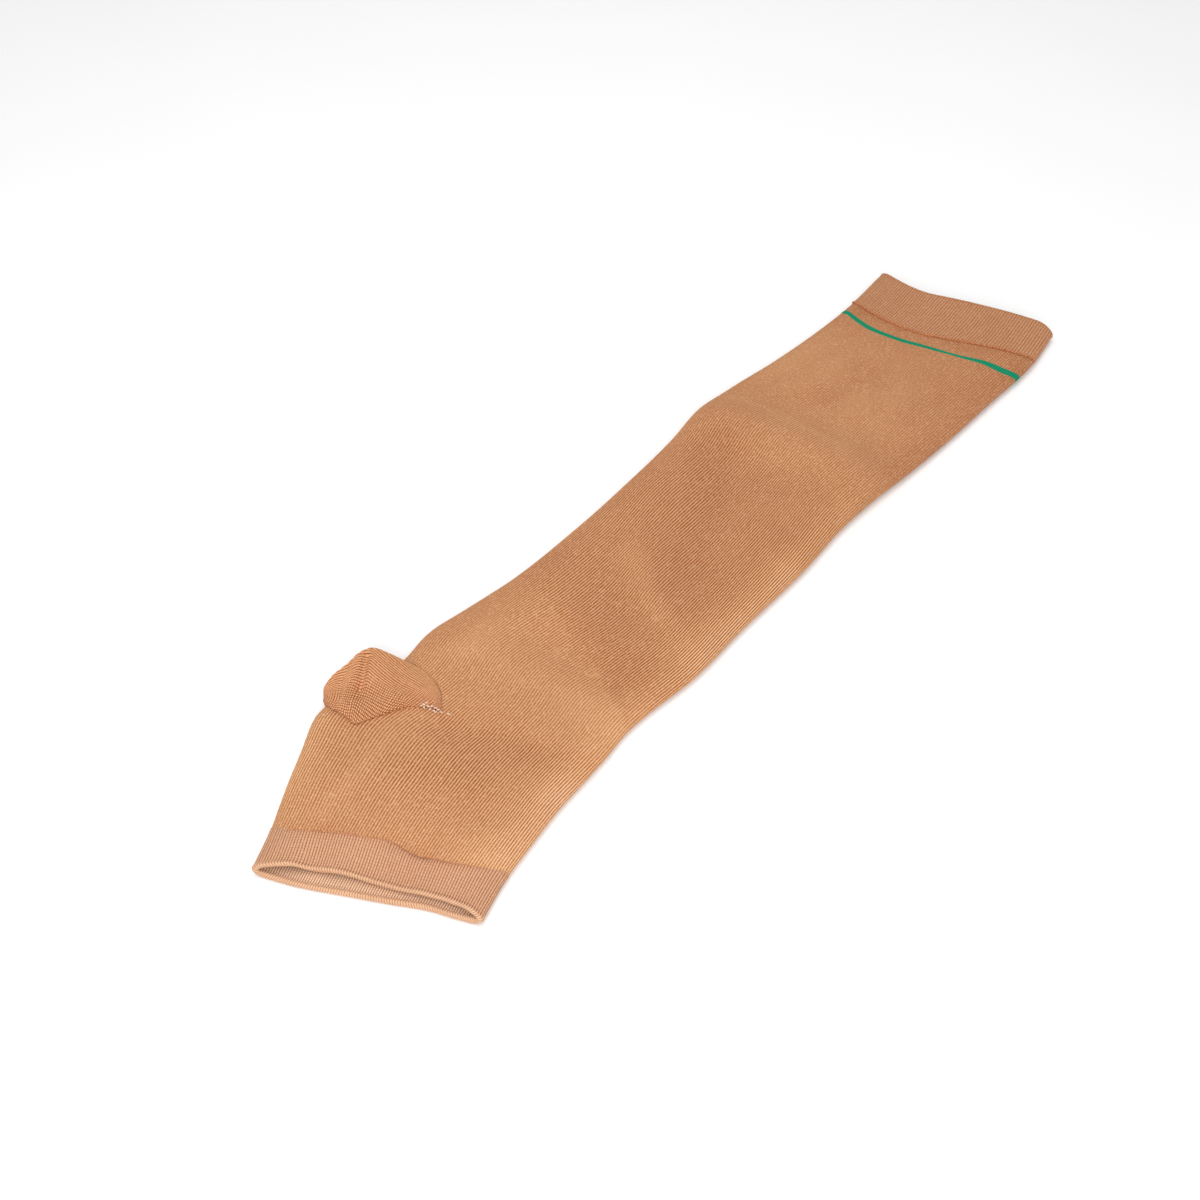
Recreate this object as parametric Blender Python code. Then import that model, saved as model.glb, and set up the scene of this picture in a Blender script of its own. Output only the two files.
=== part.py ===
"""Leg protector sleeve: an open-toe knitted tube for foot and lower leg, lying flat.

Frame: metres, +Z up. +Y runs up the leg from the toe to the top welt, +X points to the
instep and shin side and -X to the heel and calf side. The sleeve rests on z = 0 and the
origin is the middle of its footprint.

Lengths below are millimetres until a point becomes part of a mesh. A place on the cloth is
given by three numbers: along, the distance from the toe rim up the middle of the sleeve;
around, a fraction of the girth that is 0 at the heel side and 0.5 at the shin side, less
than 0.5 on the upper layer and more on the lower one; and depth, the distance in from the
outer face. A knitted-in edge may lie at another distance along for each place around.
"""
from collections import namedtuple
from functools import lru_cache

import bmesh
import bpy
import numpy as np
from mathutils import Matrix

MM = 0.001

# Cloth
KNIT_WALL = 1.4             # one layer of the body knit
TURNED_WALL = 2.4           # toe cuff and top welt, which are turned in and double
SEAM_GAP = 0.4
GORE_GAP = 0.45             # wider, because the gore edges run at a slant

# Lying form
FLOOR_CORNER = 6.0          # width of the curve from the flat underside up to each side
DOME_POWER = 3.0            # how flat the upper layer is between its rounded sides
MOUTH_SETBACK = 5.5         # how far the upper lip of the toe mouth lies behind the lower
SETBACK_POWER = 4.0

# Marker course
MARKER_BELOW_WELT = 15.0
MARKER_WIDTH = 2.0

# Heel pocket
GORE_RING_STEP = 7          # ring step at which the gore ends, counted from the heel side
GORE_TIP = 0.3              # where the pocket's pointed ends start, in their ring step
POCKET_RISE = 10.5
POCKET_REACH = 9.0

# Mesh steps
QUARTER_STEPS = 8           # ring steps in a quarter of the girth
QUARTER_POWER = 1.7         # above 1, so that the steps are shortest at the sides
PROFILE_STEPS = 160
CUFF_ROWS = 4
FOOT_ROWS = 7
LEG_ROWS = 31
BAND_ROWS = 2
POCKET_ROWS = 10
RIM_STEPS = 4
SHARP_ANGLE = 50.0

# Sections across the sleeve: the plan place of the heel-side (left) and shin-side (right)
# edge, the height of the upper layer's middle, and the height of each edge's widest point.
Section = namedtuple("Section", "left_x left_y right_x right_y crown left_side right_side")
SECTIONS = {
    "toe_rim": Section(-21.0, -139.0, 72.0, -102.0, 12.0, 3.4, 3.4),
    "cuff_seam": Section(-30.0, -119.5, 65.5, -79.0, 12.5, 3.4, 3.4),
    "ball": Section(-40.5, -101.0, 62.8, -63.5, 13.5, 3.2, 3.2),
    "arch": Section(-51.5, -80.0, 60.4, -48.0, 14.0, 3.2, 3.2),
    "sole_end": Section(-61.5, -60.0, 58.6, -35.0, 13.5, 3.2, 3.2),
    "heel": Section(-58.5, -36.0, 57.4, -18.0, 12.5, 3.2, 3.2),
    "heel_top": Section(-54.5, -13.0, 56.0, 1.0, 12.0, 3.2, 3.2),
    "ankle": Section(-57.5, 10.0, 54.0, 18.0, 12.0, 3.2, 3.0),
    "ankle_notch": Section(-54.5, 32.0, 54.5, 34.0, 12.0, 3.2, 3.0),
    "low_calf": Section(-50.5, 62.0, 57.5, 62.0, 12.5, 3.2, 3.2),
    "calf": Section(-49.5, 105.0, 56.5, 105.0, 13.5, 3.4, 3.2),
    "high_calf": Section(-51.0, 155.0, 56.5, 155.0, 14.5, 4.0, 3.4),
    "fold_foot": Section(-53.5, 195.0, 54.0, 195.0, 15.5, 5.0, 3.6),
    "fold_top": Section(-56.5, 222.0, 55.0, 222.0, 16.0, 6.0, 4.0),
    "fold_back": Section(-55.5, 250.0, 57.5, 250.0, 13.5, 5.0, 3.8),
    "shin": Section(-52.0, 285.0, 59.5, 287.0, 12.0, 3.6, 3.4),
    "knee_side": Section(-49.0, 325.0, 60.5, 330.0, 11.2, 3.4, 3.4),
    "welt_seam": Section(-48.5, 360.0, 61.5, 371.0, 10.9, 3.4, 3.4),
    "top_rim": Section(-51.0, 394.5, 57.0, 404.5, 10.8, 3.4, 3.4),
}

# The largest folds of the upper layer: the plan line each follows, and its rise.
Fold = namedtuple("Fold", "left_x left_y right_x right_y half_width rise")
FOLDS = {
    "calf_ridge": Fold(-56.0, 216.0, 60.0, 222.0, 17.0, 5.0),
    "ankle_hollow": Fold(-8.0, 35.0, 56.0, 34.0, 12.0, -2.2),
    "calf_hollow": Fold(-25.0, 192.0, 22.0, 116.0, 16.0, -2.0),
    "foot_swell": Fold(-30.0, -88.0, 10.0, -52.0, 15.0, 1.2),
}

# Knitted-in edges at the heel, from the gore end (share 0) to the heel side (share 1): how
# far the foot's edge drops below the heel section, and the leg's edge climbs above it.
GoreRow = namedtuple("GoreRow", "share foot_drop leg_rise")
GORE = (
    GoreRow(0.0, 0.0, 0.0),
    GoreRow(0.23, 3.5, 10.5),
    GoreRow(0.44, 11.0, 16.0),
    GoreRow(0.61, 18.5, 18.5),
    GoreRow(0.76, 21.5, 20.0),
    GoreRow(0.88, 20.5, 21.5),
    GoreRow(1.0, 18.0, 23.0),
)

# Waves of the knitted-in lines and of the top rim, from the heel side round to the shin side:
# how far each runs ahead of the straight line across, up the leg.
WaveRow = namedtuple("WaveRow", "around cuff_seam marker welt_seam top_rim")
WAVES = (
    WaveRow(0.0, 0.5, 1.2, 0.4, 1.8),
    WaveRow(0.03, 0.4, 0.4, -0.8, 0.6),
    WaveRow(0.06, 0.4, -3.0, -4.0, -2.5),
    WaveRow(0.11, 1.2, -8.0, -6.8, -6.0),
    WaveRow(0.16, 3.0, -9.0, -7.1, -8.2),
    WaveRow(0.21, 3.8, -9.0, -7.6, -7.3),
    WaveRow(0.26, 1.8, -7.4, -8.3, -5.2),
    WaveRow(0.31, -1.2, -6.2, -8.3, -3.4),
    WaveRow(0.36, -1.6, -5.3, -6.0, -1.8),
    WaveRow(0.41, -1.6, -1.4, -2.8, 0.6),
    WaveRow(0.46, 0.5, 0.3, 1.2, 3.0),
    WaveRow(0.5, 1.6, 1.2, 2.2, 2.4),
)

# Round the pocket, from the gore end on the lower layer (-1) past the heel side (0) to the
# gore end on the upper layer (1): shares of the full rise and of the full reach outwards.
PuffRow = namedtuple("PuffRow", "turn rise reach")
PUFF = (
    PuffRow(-0.45, 0.0, 0.0),
    PuffRow(-0.22, 0.0, 0.45),
    PuffRow(-0.09, 0.08, 0.9),
    PuffRow(0.0, 0.42, 1.0),
    PuffRow(0.12, 0.85, 1.0),
    PuffRow(0.3, 1.0, 0.75),
    PuffRow(0.55, 0.8, 0.2),
    PuffRow(0.8, 0.4, 0.0),
    PuffRow(1.0, 0.0, 0.0),
)

# Across the pocket, from the leg's edge (0) to the foot's edge (1): share of rise and reach.
SwellRow = namedtuple("SwellRow", "from_leg swell")
SWELL = (
    SwellRow(0.0, 0.0),
    SwellRow(0.1, 0.55),
    SwellRow(0.25, 0.95),
    SwellRow(0.4, 1.0),
    SwellRow(0.6, 0.84),
    SwellRow(0.8, 0.62),
    SwellRow(0.93, 0.42),
    SwellRow(1.0, 0.0),
)

# Linear colour and roughness of each piece's yarn
Finish = namedtuple("Finish", "colour roughness")
FINISHES = {
    "toe_cuff": Finish((0.63, 0.32, 0.17), 0.9),
    "foot_tube": Finish((0.60, 0.28, 0.13), 0.9),
    "heel_pocket": Finish((0.60, 0.29, 0.14), 0.9),
    "leg_tube": Finish((0.58, 0.27, 0.12), 0.9),
    "marker_course": Finish((0.0, 0.28, 0.14), 0.85),
    "upper_band": Finish((0.52, 0.24, 0.11), 0.9),
    "top_welt": Finish((0.52, 0.23, 0.11), 0.9),
}


def read_row(rows, key, value, at):
    """Read one column of a table at a place on another, straight between its rows."""
    keys = [getattr(row, key) for row in rows]
    values = [getattr(row, value) for row in rows]
    return float(np.interp(at, keys, values))


def section_places():
    """Distance of each section from the toe rim, up the middle of the sleeve."""
    rows = np.array(list(SECTIONS.values()))
    middles = (rows[:, 0:2] + rows[:, 2:4]) / 2.0
    steps = np.linalg.norm(np.diff(middles, axis=0), axis=1)
    return np.concatenate(([0.0], np.cumsum(steps)))


SECTION_AT = section_places()
PLACE = dict(zip(SECTIONS, SECTION_AT))
PLACE["marker"] = PLACE["welt_seam"] - MARKER_BELOW_WELT


def line_at(line, around):
    """Where a knitted-in line or the top rim lies, along the sleeve."""
    return PLACE[line] + read_row(WAVES, "around", line, min(around, 1.0 - around))


def section_at(along):
    """Section at any place, on smooth curves through the named ones."""
    rows = np.array(list(SECTIONS.values()))
    slopes = np.gradient(rows, SECTION_AT, axis=0)
    before = int(np.searchsorted(SECTION_AT, along, side="right")) - 1
    before = min(max(before, 0), len(rows) - 2)
    span = SECTION_AT[before + 1] - SECTION_AT[before]
    share = (along - SECTION_AT[before]) / span
    ease = share * share * (3.0 - 2.0 * share)
    values = rows[before] * (1.0 - ease) + rows[before + 1] * ease
    values = values + slopes[before] * span * share * (1.0 - share) ** 2
    values = values - slopes[before + 1] * span * share ** 2 * (1.0 - share)
    return Section(*values)


def fold_rise(x, y):
    """Rise of the upper layer's folds at plan places, each fading away from its line."""
    total = np.zeros_like(x)
    for fold in FOLDS.values():
        run_x = fold.right_x - fold.left_x
        run_y = fold.right_y - fold.left_y
        share = ((x - fold.left_x) * run_x + (y - fold.left_y) * run_y) / (run_x ** 2 + run_y ** 2)
        share = np.clip(share, 0.0, 1.0)
        away = np.hypot(x - fold.left_x - share * run_x, y - fold.left_y - share * run_y)
        total += fold.rise * np.exp(-(away / fold.half_width) ** 2)
    return total


@lru_cache(maxsize=None)
def section_outline(along, depth):
    """Closed outline of a section: each point's fraction of the girth, and the points."""
    section = section_at(along)
    left = np.array((section.left_x, section.left_y))
    right = np.array((section.right_x, section.right_y))
    middle = (left + right) / 2.0
    half = np.linalg.norm(right - left) / 2.0
    sweep = -np.cos(np.linspace(0.0, np.pi, PROFILE_STEPS))
    plan = middle[:, None] + (right - left)[:, None] / 2.0 * sweep * (half - depth) / half

    side = section.left_side + (section.right_side - section.left_side) * (sweep + 1.0) / 2.0
    dome = np.sqrt(1.0 - np.abs(sweep) ** DOME_POWER)
    crown = section.crown + fold_rise(plan[0], plan[1]) - depth
    upper_height = side + (crown - side) * dome
    corner = np.clip((np.abs(sweep) - 1.0) * half / FLOOR_CORNER + 1.0, 0.0, 1.0)
    lower_height = depth + (side - depth) * (1.0 - np.sqrt(1.0 - corner ** 2))

    upper = np.column_stack((plan[0], plan[1], upper_height))
    lower = np.column_stack((plan[0], plan[1], lower_height))[::-1]
    outline = np.concatenate((upper, lower[1:]))
    girth = np.concatenate(([0.0], np.cumsum(np.linalg.norm(np.diff(outline, axis=0), axis=1))))
    half_way = girth[len(upper) - 1]
    on_lower = 0.5 + 0.5 * (girth - half_way) / (girth[-1] - half_way)
    around = np.where(girth <= half_way, 0.5 * girth / half_way, on_lower)
    return around, outline


def cloth_point(along, around, depth):
    """Point of the cloth in millimetres."""
    places, outline = section_outline(round(along, 4), depth)
    return np.array([np.interp(around % 1.0, places, outline[:, axis]) for axis in range(3)])


def ring_places():
    """Places around at which a tube has points, closest together at its two sides."""
    quarter = [0.25 * (step / QUARTER_STEPS) ** QUARTER_POWER for step in range(QUARTER_STEPS)]
    upper = quarter + [0.25] + [0.5 - place for place in reversed(quarter[1:])]
    return upper + [0.5 + place for place in upper]


RING = ring_places()
GORE_AROUND = RING[GORE_RING_STEP]


def gore_share(around):
    """0 at the gore ends and over the instep, rising to 1 at the heel side."""
    from_heel = min(around % 1.0, 1.0 - around % 1.0)
    return max(0.0, 1.0 - from_heel / GORE_AROUND)


def leg_edge(around):
    """Where the leg tube starts, along the sleeve."""
    rise = read_row(GORE, "share", "leg_rise", gore_share(around))
    return PLACE["heel"] + rise + SEAM_GAP / 2.0


def foot_edge(around):
    """Where the foot tube ends, along the sleeve."""
    drop = read_row(GORE, "share", "foot_drop", gore_share(around))
    return PLACE["heel"] - drop - SEAM_GAP / 2.0


def mouth_setback(around):
    """How far the toe rim lies behind its lower lip."""
    if around > 0.5:
        return 0.0
    return MOUTH_SETBACK * (1.0 - abs(4.0 * around - 1.0) ** SETBACK_POWER)


def plain_wall(start, end, rows, wall):
    """Lengthways cut of a wall between two edges, as a loop of (along, depth) pairs."""
    places = [start + (end - start) * row / rows for row in range(rows + 1)]
    outer = [(place, 0.0) for place in places]
    return outer + [(place, wall) for place in reversed(places)]


def turned_wall(rim, seam, rows):
    """Lengthways cut of a doubled wall, its cloth turned over in a round rim."""
    radius = TURNED_WALL / 2.0
    inward = radius if seam > rim else -radius
    loop = plain_wall(rim + inward, seam, rows, TURNED_WALL)
    for step in range(1, RIM_STEPS):
        angle = np.pi * step / RIM_STEPS
        loop.append((rim + inward * (1.0 - np.sin(angle)), radius * (1.0 + np.cos(angle))))
    return loop


def loft(name, loops, closed):
    """Mesh object through loops of points in millimetres.

    A closed loft joins its last loop to its first. An open one gets an end face at each end,
    a strip between the outer and the inner half of the loop.
    """
    mesh = bmesh.new()
    rings = [[mesh.verts.new(point * MM) for point in loop] for loop in loops]
    pairs = list(zip(rings, rings[1:]))
    if closed:
        pairs.append((rings[-1], rings[0]))
    for first, second in pairs:
        for here in range(len(first)):
            after = (here + 1) % len(first)
            mesh.faces.new((first[here], first[after], second[after], second[here]))
    if not closed:
        for ring in (rings[0], rings[-1]):
            for here in range(len(ring) // 2 - 1):
                mesh.faces.new((ring[here], ring[here + 1], ring[-here - 2], ring[-here - 1]))
    bmesh.ops.recalc_face_normals(mesh, faces=mesh.faces)
    data = bpy.data.meshes.new(name)
    mesh.to_mesh(data)
    mesh.free()
    data.shade_smooth()
    data.set_sharp_from_angle(angle=np.radians(SHARP_ANGLE))
    piece = bpy.data.objects.new(name, data)
    bpy.context.collection.objects.link(piece)
    return piece


def tube(name, wall_cut):
    """Tube of cloth, the lengthways cut of whose wall depends on the place around."""
    loops = []
    for around in RING:
        loops.append([cloth_point(along, around, depth) for along, depth in wall_cut(around)])
    return loft(name, loops, closed=True)


def make_toe_cuff():
    """Ribbed cuff round the open toe, turned in and double."""

    def cut(around):
        seam = line_at("cuff_seam", around) - SEAM_GAP / 2.0
        setback = mouth_setback(around)
        wall = turned_wall(PLACE["toe_rim"], seam, CUFF_ROWS)
        return [(along + setback * (1.0 - along / seam), depth) for along, depth in wall]

    return tube("toe_cuff", cut)


def make_foot_tube():
    """Foot of the sleeve, cut away at the heel where the pocket is knitted in."""

    def cut(around):
        start = line_at("cuff_seam", around) + SEAM_GAP / 2.0
        return plain_wall(start, foot_edge(around), FOOT_ROWS, KNIT_WALL)

    return tube("foot_tube", cut)


def make_leg_tube():
    """Leg of the sleeve, from the ankle and heel pocket up to the marker course."""

    def cut(around):
        end = line_at("marker", around) - (MARKER_WIDTH + SEAM_GAP) / 2.0
        return plain_wall(leg_edge(around), end, LEG_ROWS, KNIT_WALL)

    return tube("leg_tube", cut)


def make_marker_course():
    """Narrow ring knitted in the marker colour."""
    half_width = (MARKER_WIDTH - SEAM_GAP) / 2.0

    def cut(around):
        middle = line_at("marker", around)
        return plain_wall(middle - half_width, middle + half_width, 1, KNIT_WALL)

    return tube("marker_course", cut)


def make_upper_band():
    """Plain knitting between the marker course and the welt seam."""

    def cut(around):
        start = line_at("marker", around) + (MARKER_WIDTH + SEAM_GAP) / 2.0
        end = line_at("welt_seam", around) - SEAM_GAP / 2.0
        return plain_wall(start, end, BAND_ROWS, KNIT_WALL)

    return tube("upper_band", cut)


def make_top_welt():
    """Ribbed welt at the knee end, turned in and double."""

    def cut(around):
        seam = line_at("welt_seam", around) + SEAM_GAP / 2.0
        return turned_wall(line_at("top_rim", around), seam, CUFF_ROWS)

    return tube("top_welt", cut)


def pocket_edges(around, depth):
    """The pocket's edge points beside the leg tube and beside the foot tube."""
    leg_point = cloth_point(leg_edge(around) - GORE_GAP, around, depth)
    foot_point = cloth_point(foot_edge(around) + GORE_GAP, around, depth)
    return np.array((leg_point, foot_point))


def pocket_columns(depth):
    """Each column's turn round the pocket, and its two edge points, between the gore ends.

    The tubes' gore edges are straight between ring places, so a pointed end of the pocket
    starts at a share of the straight line from the gore end to the next ring place.
    """
    inside = [place for place in RING if place < GORE_AROUND]
    turns = [-place for place in reversed(inside[1:])] + inside
    edges = [pocket_edges(turn, depth) for turn in turns]
    for gore, end in ((-GORE_AROUND, 0), (GORE_AROUND, len(turns) + 1)):
        beside = turns[min(end, len(turns) - 1)]
        gore_edges = pocket_edges(gore, depth)
        tip = gore_edges + (pocket_edges(beside, depth) - gore_edges) * GORE_TIP
        turns.insert(end, gore + (beside - gore) * GORE_TIP)
        edges.insert(end, tip)
    return turns, edges


def pocket_outer_point(turn, edges, from_leg):
    """Point of the pocket's outer face, puffed up and out from the line across the gore."""
    swell = read_row(SWELL, "from_leg", "swell", from_leg)
    point = edges[0] * (1.0 - from_leg) + edges[1] * from_leg
    point[0] -= POCKET_REACH * swell * read_row(PUFF, "turn", "reach", turn / GORE_AROUND)
    point[2] += POCKET_RISE * swell * read_row(PUFF, "turn", "rise", turn / GORE_AROUND)
    return point


def make_heel_pocket():
    """Heel pocket, knitted between foot and leg and puffed up over the foot."""
    turns, outer_edges = pocket_columns(0.0)
    _, inner_edges = pocket_columns(KNIT_WALL)
    shares = [row / POCKET_ROWS for row in range(POCKET_ROWS + 1)]
    shares[1] = shares[1] / 2.0
    shares[-2] = (1.0 + shares[-2]) / 2.0
    outer = np.array([
        [pocket_outer_point(turn, edges, share) for share in shares]
        for turn, edges in zip(turns, outer_edges)
    ])
    normals = np.cross(np.gradient(outer, axis=1), np.gradient(outer, axis=0))
    normals /= np.linalg.norm(normals, axis=2, keepdims=True)
    inner = outer - normals * KNIT_WALL
    inner[:, 0] = [edges[0] for edges in inner_edges]
    inner[:, -1] = [edges[1] for edges in inner_edges]
    loops = [np.concatenate((outside, inside[::-1])) for outside, inside in zip(outer, inner)]
    return loft("heel_pocket", loops, closed=False)


def finish_piece(piece):
    """Give a piece its yarn's material."""
    finish = FINISHES[piece.name]
    material = bpy.data.materials.new(f"{piece.name}_knit")
    material.use_nodes = True
    shader = material.node_tree.nodes["Principled BSDF"]
    shader.inputs["Base Color"].default_value = (*finish.colour, 1.0)
    shader.inputs["Roughness"].default_value = finish.roughness
    shader.inputs["Metallic"].default_value = 0.0
    piece.data.materials.append(material)


def centre_footprint(pieces):
    """Move the sleeve so that the origin is the middle of its footprint, on its underside."""
    points = np.array([vertex.co[:] for piece in pieces for vertex in piece.data.vertices])
    low, high = points.min(axis=0), points.max(axis=0)
    shift = (-(low[0] + high[0]) / 2.0, -(low[1] + high[1]) / 2.0, -low[2])
    for piece in pieces:
        piece.data.transform(Matrix.Translation(shift))


def main():
    """Build the sleeve."""
    for old in list(bpy.data.objects):
        bpy.data.objects.remove(old, do_unlink=True)
    pieces = [
        make_toe_cuff(),
        make_foot_tube(),
        make_heel_pocket(),
        make_leg_tube(),
        make_marker_course(),
        make_upper_band(),
        make_top_welt(),
    ]
    centre_footprint(pieces)
    for piece in pieces:
        finish_piece(piece)


main()
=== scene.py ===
"""Leg protector sleeve: an open-toe knitted tube for foot and lower leg, lying flat.

Frame: metres, +Z up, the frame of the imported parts. +Y runs up the leg from the toe to the
top welt, +X points to the instep and shin side and -X to the heel and calf side.

Lengths are millimetres until a point becomes part of a mesh. A place on the cloth is given
by along, the distance from the toe rim up the middle of the sleeve; around, a fraction of
the girth that is 0 at the heel side and 0.5 at the shin side, less than 0.5 on the upper
layer and more on the lower one; depth, the distance in from the outer face; and lift, the
distance out from it. Plan places are x and y in the making frame, whose origin is at the
ankle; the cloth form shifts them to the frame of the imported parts.
"""
import logging
import math
from dataclasses import astuple, dataclass
from enum import Enum
from typing import Callable, Sequence

import bmesh
import bpy
import numpy as np
from mathutils import Matrix, Vector


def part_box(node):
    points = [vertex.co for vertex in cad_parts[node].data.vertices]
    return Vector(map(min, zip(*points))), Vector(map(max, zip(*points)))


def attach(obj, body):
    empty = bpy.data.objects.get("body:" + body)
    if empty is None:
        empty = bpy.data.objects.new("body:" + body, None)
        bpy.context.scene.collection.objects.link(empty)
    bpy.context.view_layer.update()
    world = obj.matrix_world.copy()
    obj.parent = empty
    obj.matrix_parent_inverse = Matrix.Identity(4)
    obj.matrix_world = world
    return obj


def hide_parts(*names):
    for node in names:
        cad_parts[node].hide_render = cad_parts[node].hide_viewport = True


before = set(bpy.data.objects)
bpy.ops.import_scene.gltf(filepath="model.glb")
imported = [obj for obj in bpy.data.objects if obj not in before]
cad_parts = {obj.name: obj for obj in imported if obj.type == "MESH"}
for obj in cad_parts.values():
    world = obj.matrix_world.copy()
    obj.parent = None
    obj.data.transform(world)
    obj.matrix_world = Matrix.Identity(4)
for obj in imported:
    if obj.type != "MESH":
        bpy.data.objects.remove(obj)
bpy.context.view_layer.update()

LOG = logging.getLogger("leg_protector_sleeve")
BODY = "root"
FLOOR = "studio_floor"

MM = 0.001
MERGE_DISTANCE = 1e-6
LEAST_LENGTH = 1e-9                 # keeps a direction from being divided by nothing
SHARP_ANGLE = math.radians(70.0)
UV_LAYER = "knit"
OPEN_LAYER = "rib_openness"
# the knit's tone: the yarn's own depth, with painted shade and painted light mixed in
TONE_LAYER = "tone_and_painted_shading"

# Cloth walls and the laid form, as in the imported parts
KNIT_WALL = 1.4
TURNED_WALL = 2.4
FLOOR_CORNER = 6.0
DOME_POWER = 3.0
MARKER_BELOW_WELT = 15.0
GORE_AROUND = 0.1992                # from the heel side to each end of the gore

# Steps of the tables that the form is read from
PROFILE_STEPS = 160
AROUND_STEPS = 720
ALONG_STEP = 1.0
ALONG_OVERRUN = 10.0
TABLE_MARGIN = 0.001                # how far short of a table's last step a reading stops


@dataclass(frozen=True)
class Section:
    """Section across the sleeve: its two edges in plan, and its heights."""

    left_x: float
    left_y: float
    right_x: float
    right_y: float
    crown: float
    left_side: float
    right_side: float


SECTIONS: dict[str, Section] = {
    "toe_rim": Section(-21.0, -139.0, 72.0, -102.0, 12.0, 3.4, 3.4),
    "cuff_seam": Section(-30.0, -119.5, 65.5, -79.0, 12.5, 3.4, 3.4),
    "ball": Section(-40.5, -101.0, 62.8, -63.5, 13.5, 3.2, 3.2),
    "arch": Section(-51.5, -80.0, 60.4, -48.0, 14.0, 3.2, 3.2),
    "sole_end": Section(-61.5, -60.0, 58.6, -35.0, 13.5, 3.2, 3.2),
    "heel": Section(-58.5, -36.0, 57.4, -18.0, 12.5, 3.2, 3.2),
    "heel_top": Section(-54.5, -13.0, 56.0, 1.0, 12.0, 3.2, 3.2),
    "ankle": Section(-57.5, 10.0, 54.0, 18.0, 12.0, 3.2, 3.0),
    "ankle_notch": Section(-54.5, 32.0, 54.5, 34.0, 12.0, 3.2, 3.0),
    "low_calf": Section(-50.5, 62.0, 57.5, 62.0, 12.5, 3.2, 3.2),
    "calf": Section(-49.5, 105.0, 56.5, 105.0, 13.5, 3.4, 3.2),
    "high_calf": Section(-51.0, 155.0, 56.5, 155.0, 14.5, 4.0, 3.4),
    "fold_foot": Section(-53.5, 195.0, 54.0, 195.0, 15.5, 5.0, 3.6),
    "fold_top": Section(-56.5, 222.0, 55.0, 222.0, 16.0, 6.0, 4.0),
    "fold_back": Section(-55.5, 250.0, 57.5, 250.0, 13.5, 5.0, 3.8),
    "shin": Section(-52.0, 285.0, 59.5, 287.0, 12.0, 3.6, 3.4),
    "knee_side": Section(-49.0, 325.0, 60.5, 330.0, 11.2, 3.4, 3.4),
    "welt_seam": Section(-48.5, 360.0, 61.5, 371.0, 10.9, 3.4, 3.4),
    "top_rim": Section(-51.0, 394.5, 57.0, 404.5, 10.8, 3.4, 3.4),
}


@dataclass(frozen=True)
class Streak:
    """Soft streak along a plan line, fading away on both sides of it."""

    left_x: float
    left_y: float
    right_x: float
    right_y: float
    half_width: float
    strength: float


# Folds and creases of the upper layer: strength is the rise in millimetres
UPPER_FOLDS: tuple[Streak, ...] = (
    Streak(-56.0, 216.0, 60.0, 222.0, 17.0, 5.0),       # ridge across the calf
    Streak(-8.0, 35.0, 56.0, 34.0, 12.0, -2.2),         # hollow at the ankle
    Streak(-25.0, 192.0, 22.0, 116.0, 16.0, -2.0),      # hollow down the calf
    Streak(-30.0, -88.0, 10.0, -52.0, 15.0, 1.2),       # swell of the foot
    Streak(-39.0, 150.0, 11.0, 87.0, 9.0, 0.9),         # low ridge between the calf hollows
    Streak(11.0, 87.0, 50.0, 80.0, 8.0, 0.8),
    Streak(-34.0, 100.0, -26.0, 12.0, 7.0, 0.9),        # rounded calf side
    Streak(-10.0, -36.0, 50.0, -14.0, 5.0, -1.1),       # crease from the gore end
    Streak(20.0, -96.0, 34.0, -93.0, 3.0, -0.9),        # pucker at the cuff seam
    Streak(38.0, -66.0, 57.0, -42.0, 7.0, -0.8),        # dent on the instep side
    Streak(-20.0, 272.0, -10.0, 330.0, 9.0, 0.8),       # soft panel above the ridge
    Streak(12.0, 258.0, 30.0, 292.0, 8.0, 0.7),
    Streak(-40.0, 262.0, -30.0, 330.0, 7.0, -0.7),
    Streak(40.0, 300.0, 52.0, 340.0, 7.0, -0.7),
    Streak(8.0, 356.0, 14.0, 350.0, 3.0, 0.8),          # pucker at the welt seam
    Streak(54.0, 22.0, 4.0, 36.0, 3.5, -0.6),           # crease from the ankle notch
    Streak(-46.0, 237.0, 32.0, 232.5, 3.5, 0.5),        # pressed edge behind the ridge
)

# Creases of the lower layer: strength is how far it rises off what it lies on
LOWER_FOLDS: tuple[Streak, ...] = (
    Streak(-30.0, 30.0, 44.0, 18.0, 7.0, 1.1),
    Streak(-34.0, 208.0, 36.0, 224.0, 10.0, 1.4),
    Streak(-6.0, 96.0, 38.0, 132.0, 6.0, 0.8),
    Streak(-22.0, -74.0, 26.0, -40.0, 8.0, 0.9),
    Streak(-18.0, 270.0, -4.0, 318.0, 6.0, 0.7),
    Streak(30.0, 300.0, 40.0, 346.0, 5.0, 0.6),
)


@dataclass(frozen=True)
class LookRow:
    """How far the ribs stand open, and how deep the knit's tone is, along a section."""

    section: str
    openness: float
    tone: float


# the tone rises towards the knee: partly the yarn's own depth, and partly painted shade for the light
# falling off away from the foot
LOOK_ROWS: tuple[LookRow, ...] = (
    LookRow("toe_rim", 0.6, 0.02),
    LookRow("cuff_seam", 0.6, 0.04),
    LookRow("ball", 0.72, 0.04),
    LookRow("arch", 0.8, 0.04),
    LookRow("sole_end", 0.8, 0.05),
    LookRow("heel", 0.78, 0.06),
    LookRow("heel_top", 0.7, 0.06),
    LookRow("ankle", 0.6, 0.08),
    LookRow("ankle_notch", 0.66, 0.12),
    LookRow("low_calf", 0.95, 0.13),
    LookRow("calf", 1.0, 0.18),
    LookRow("high_calf", 0.97, 0.2),
    LookRow("fold_foot", 0.78, 0.3),
    LookRow("fold_top", 0.48, 0.38),
    LookRow("fold_back", 0.3, 0.48),
    LookRow("shin", 0.2, 0.55),
    LookRow("knee_side", 0.24, 0.62),
    LookRow("welt_seam", 0.3, 0.75),
    LookRow("top_rim", 0.3, 0.7),
)

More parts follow.
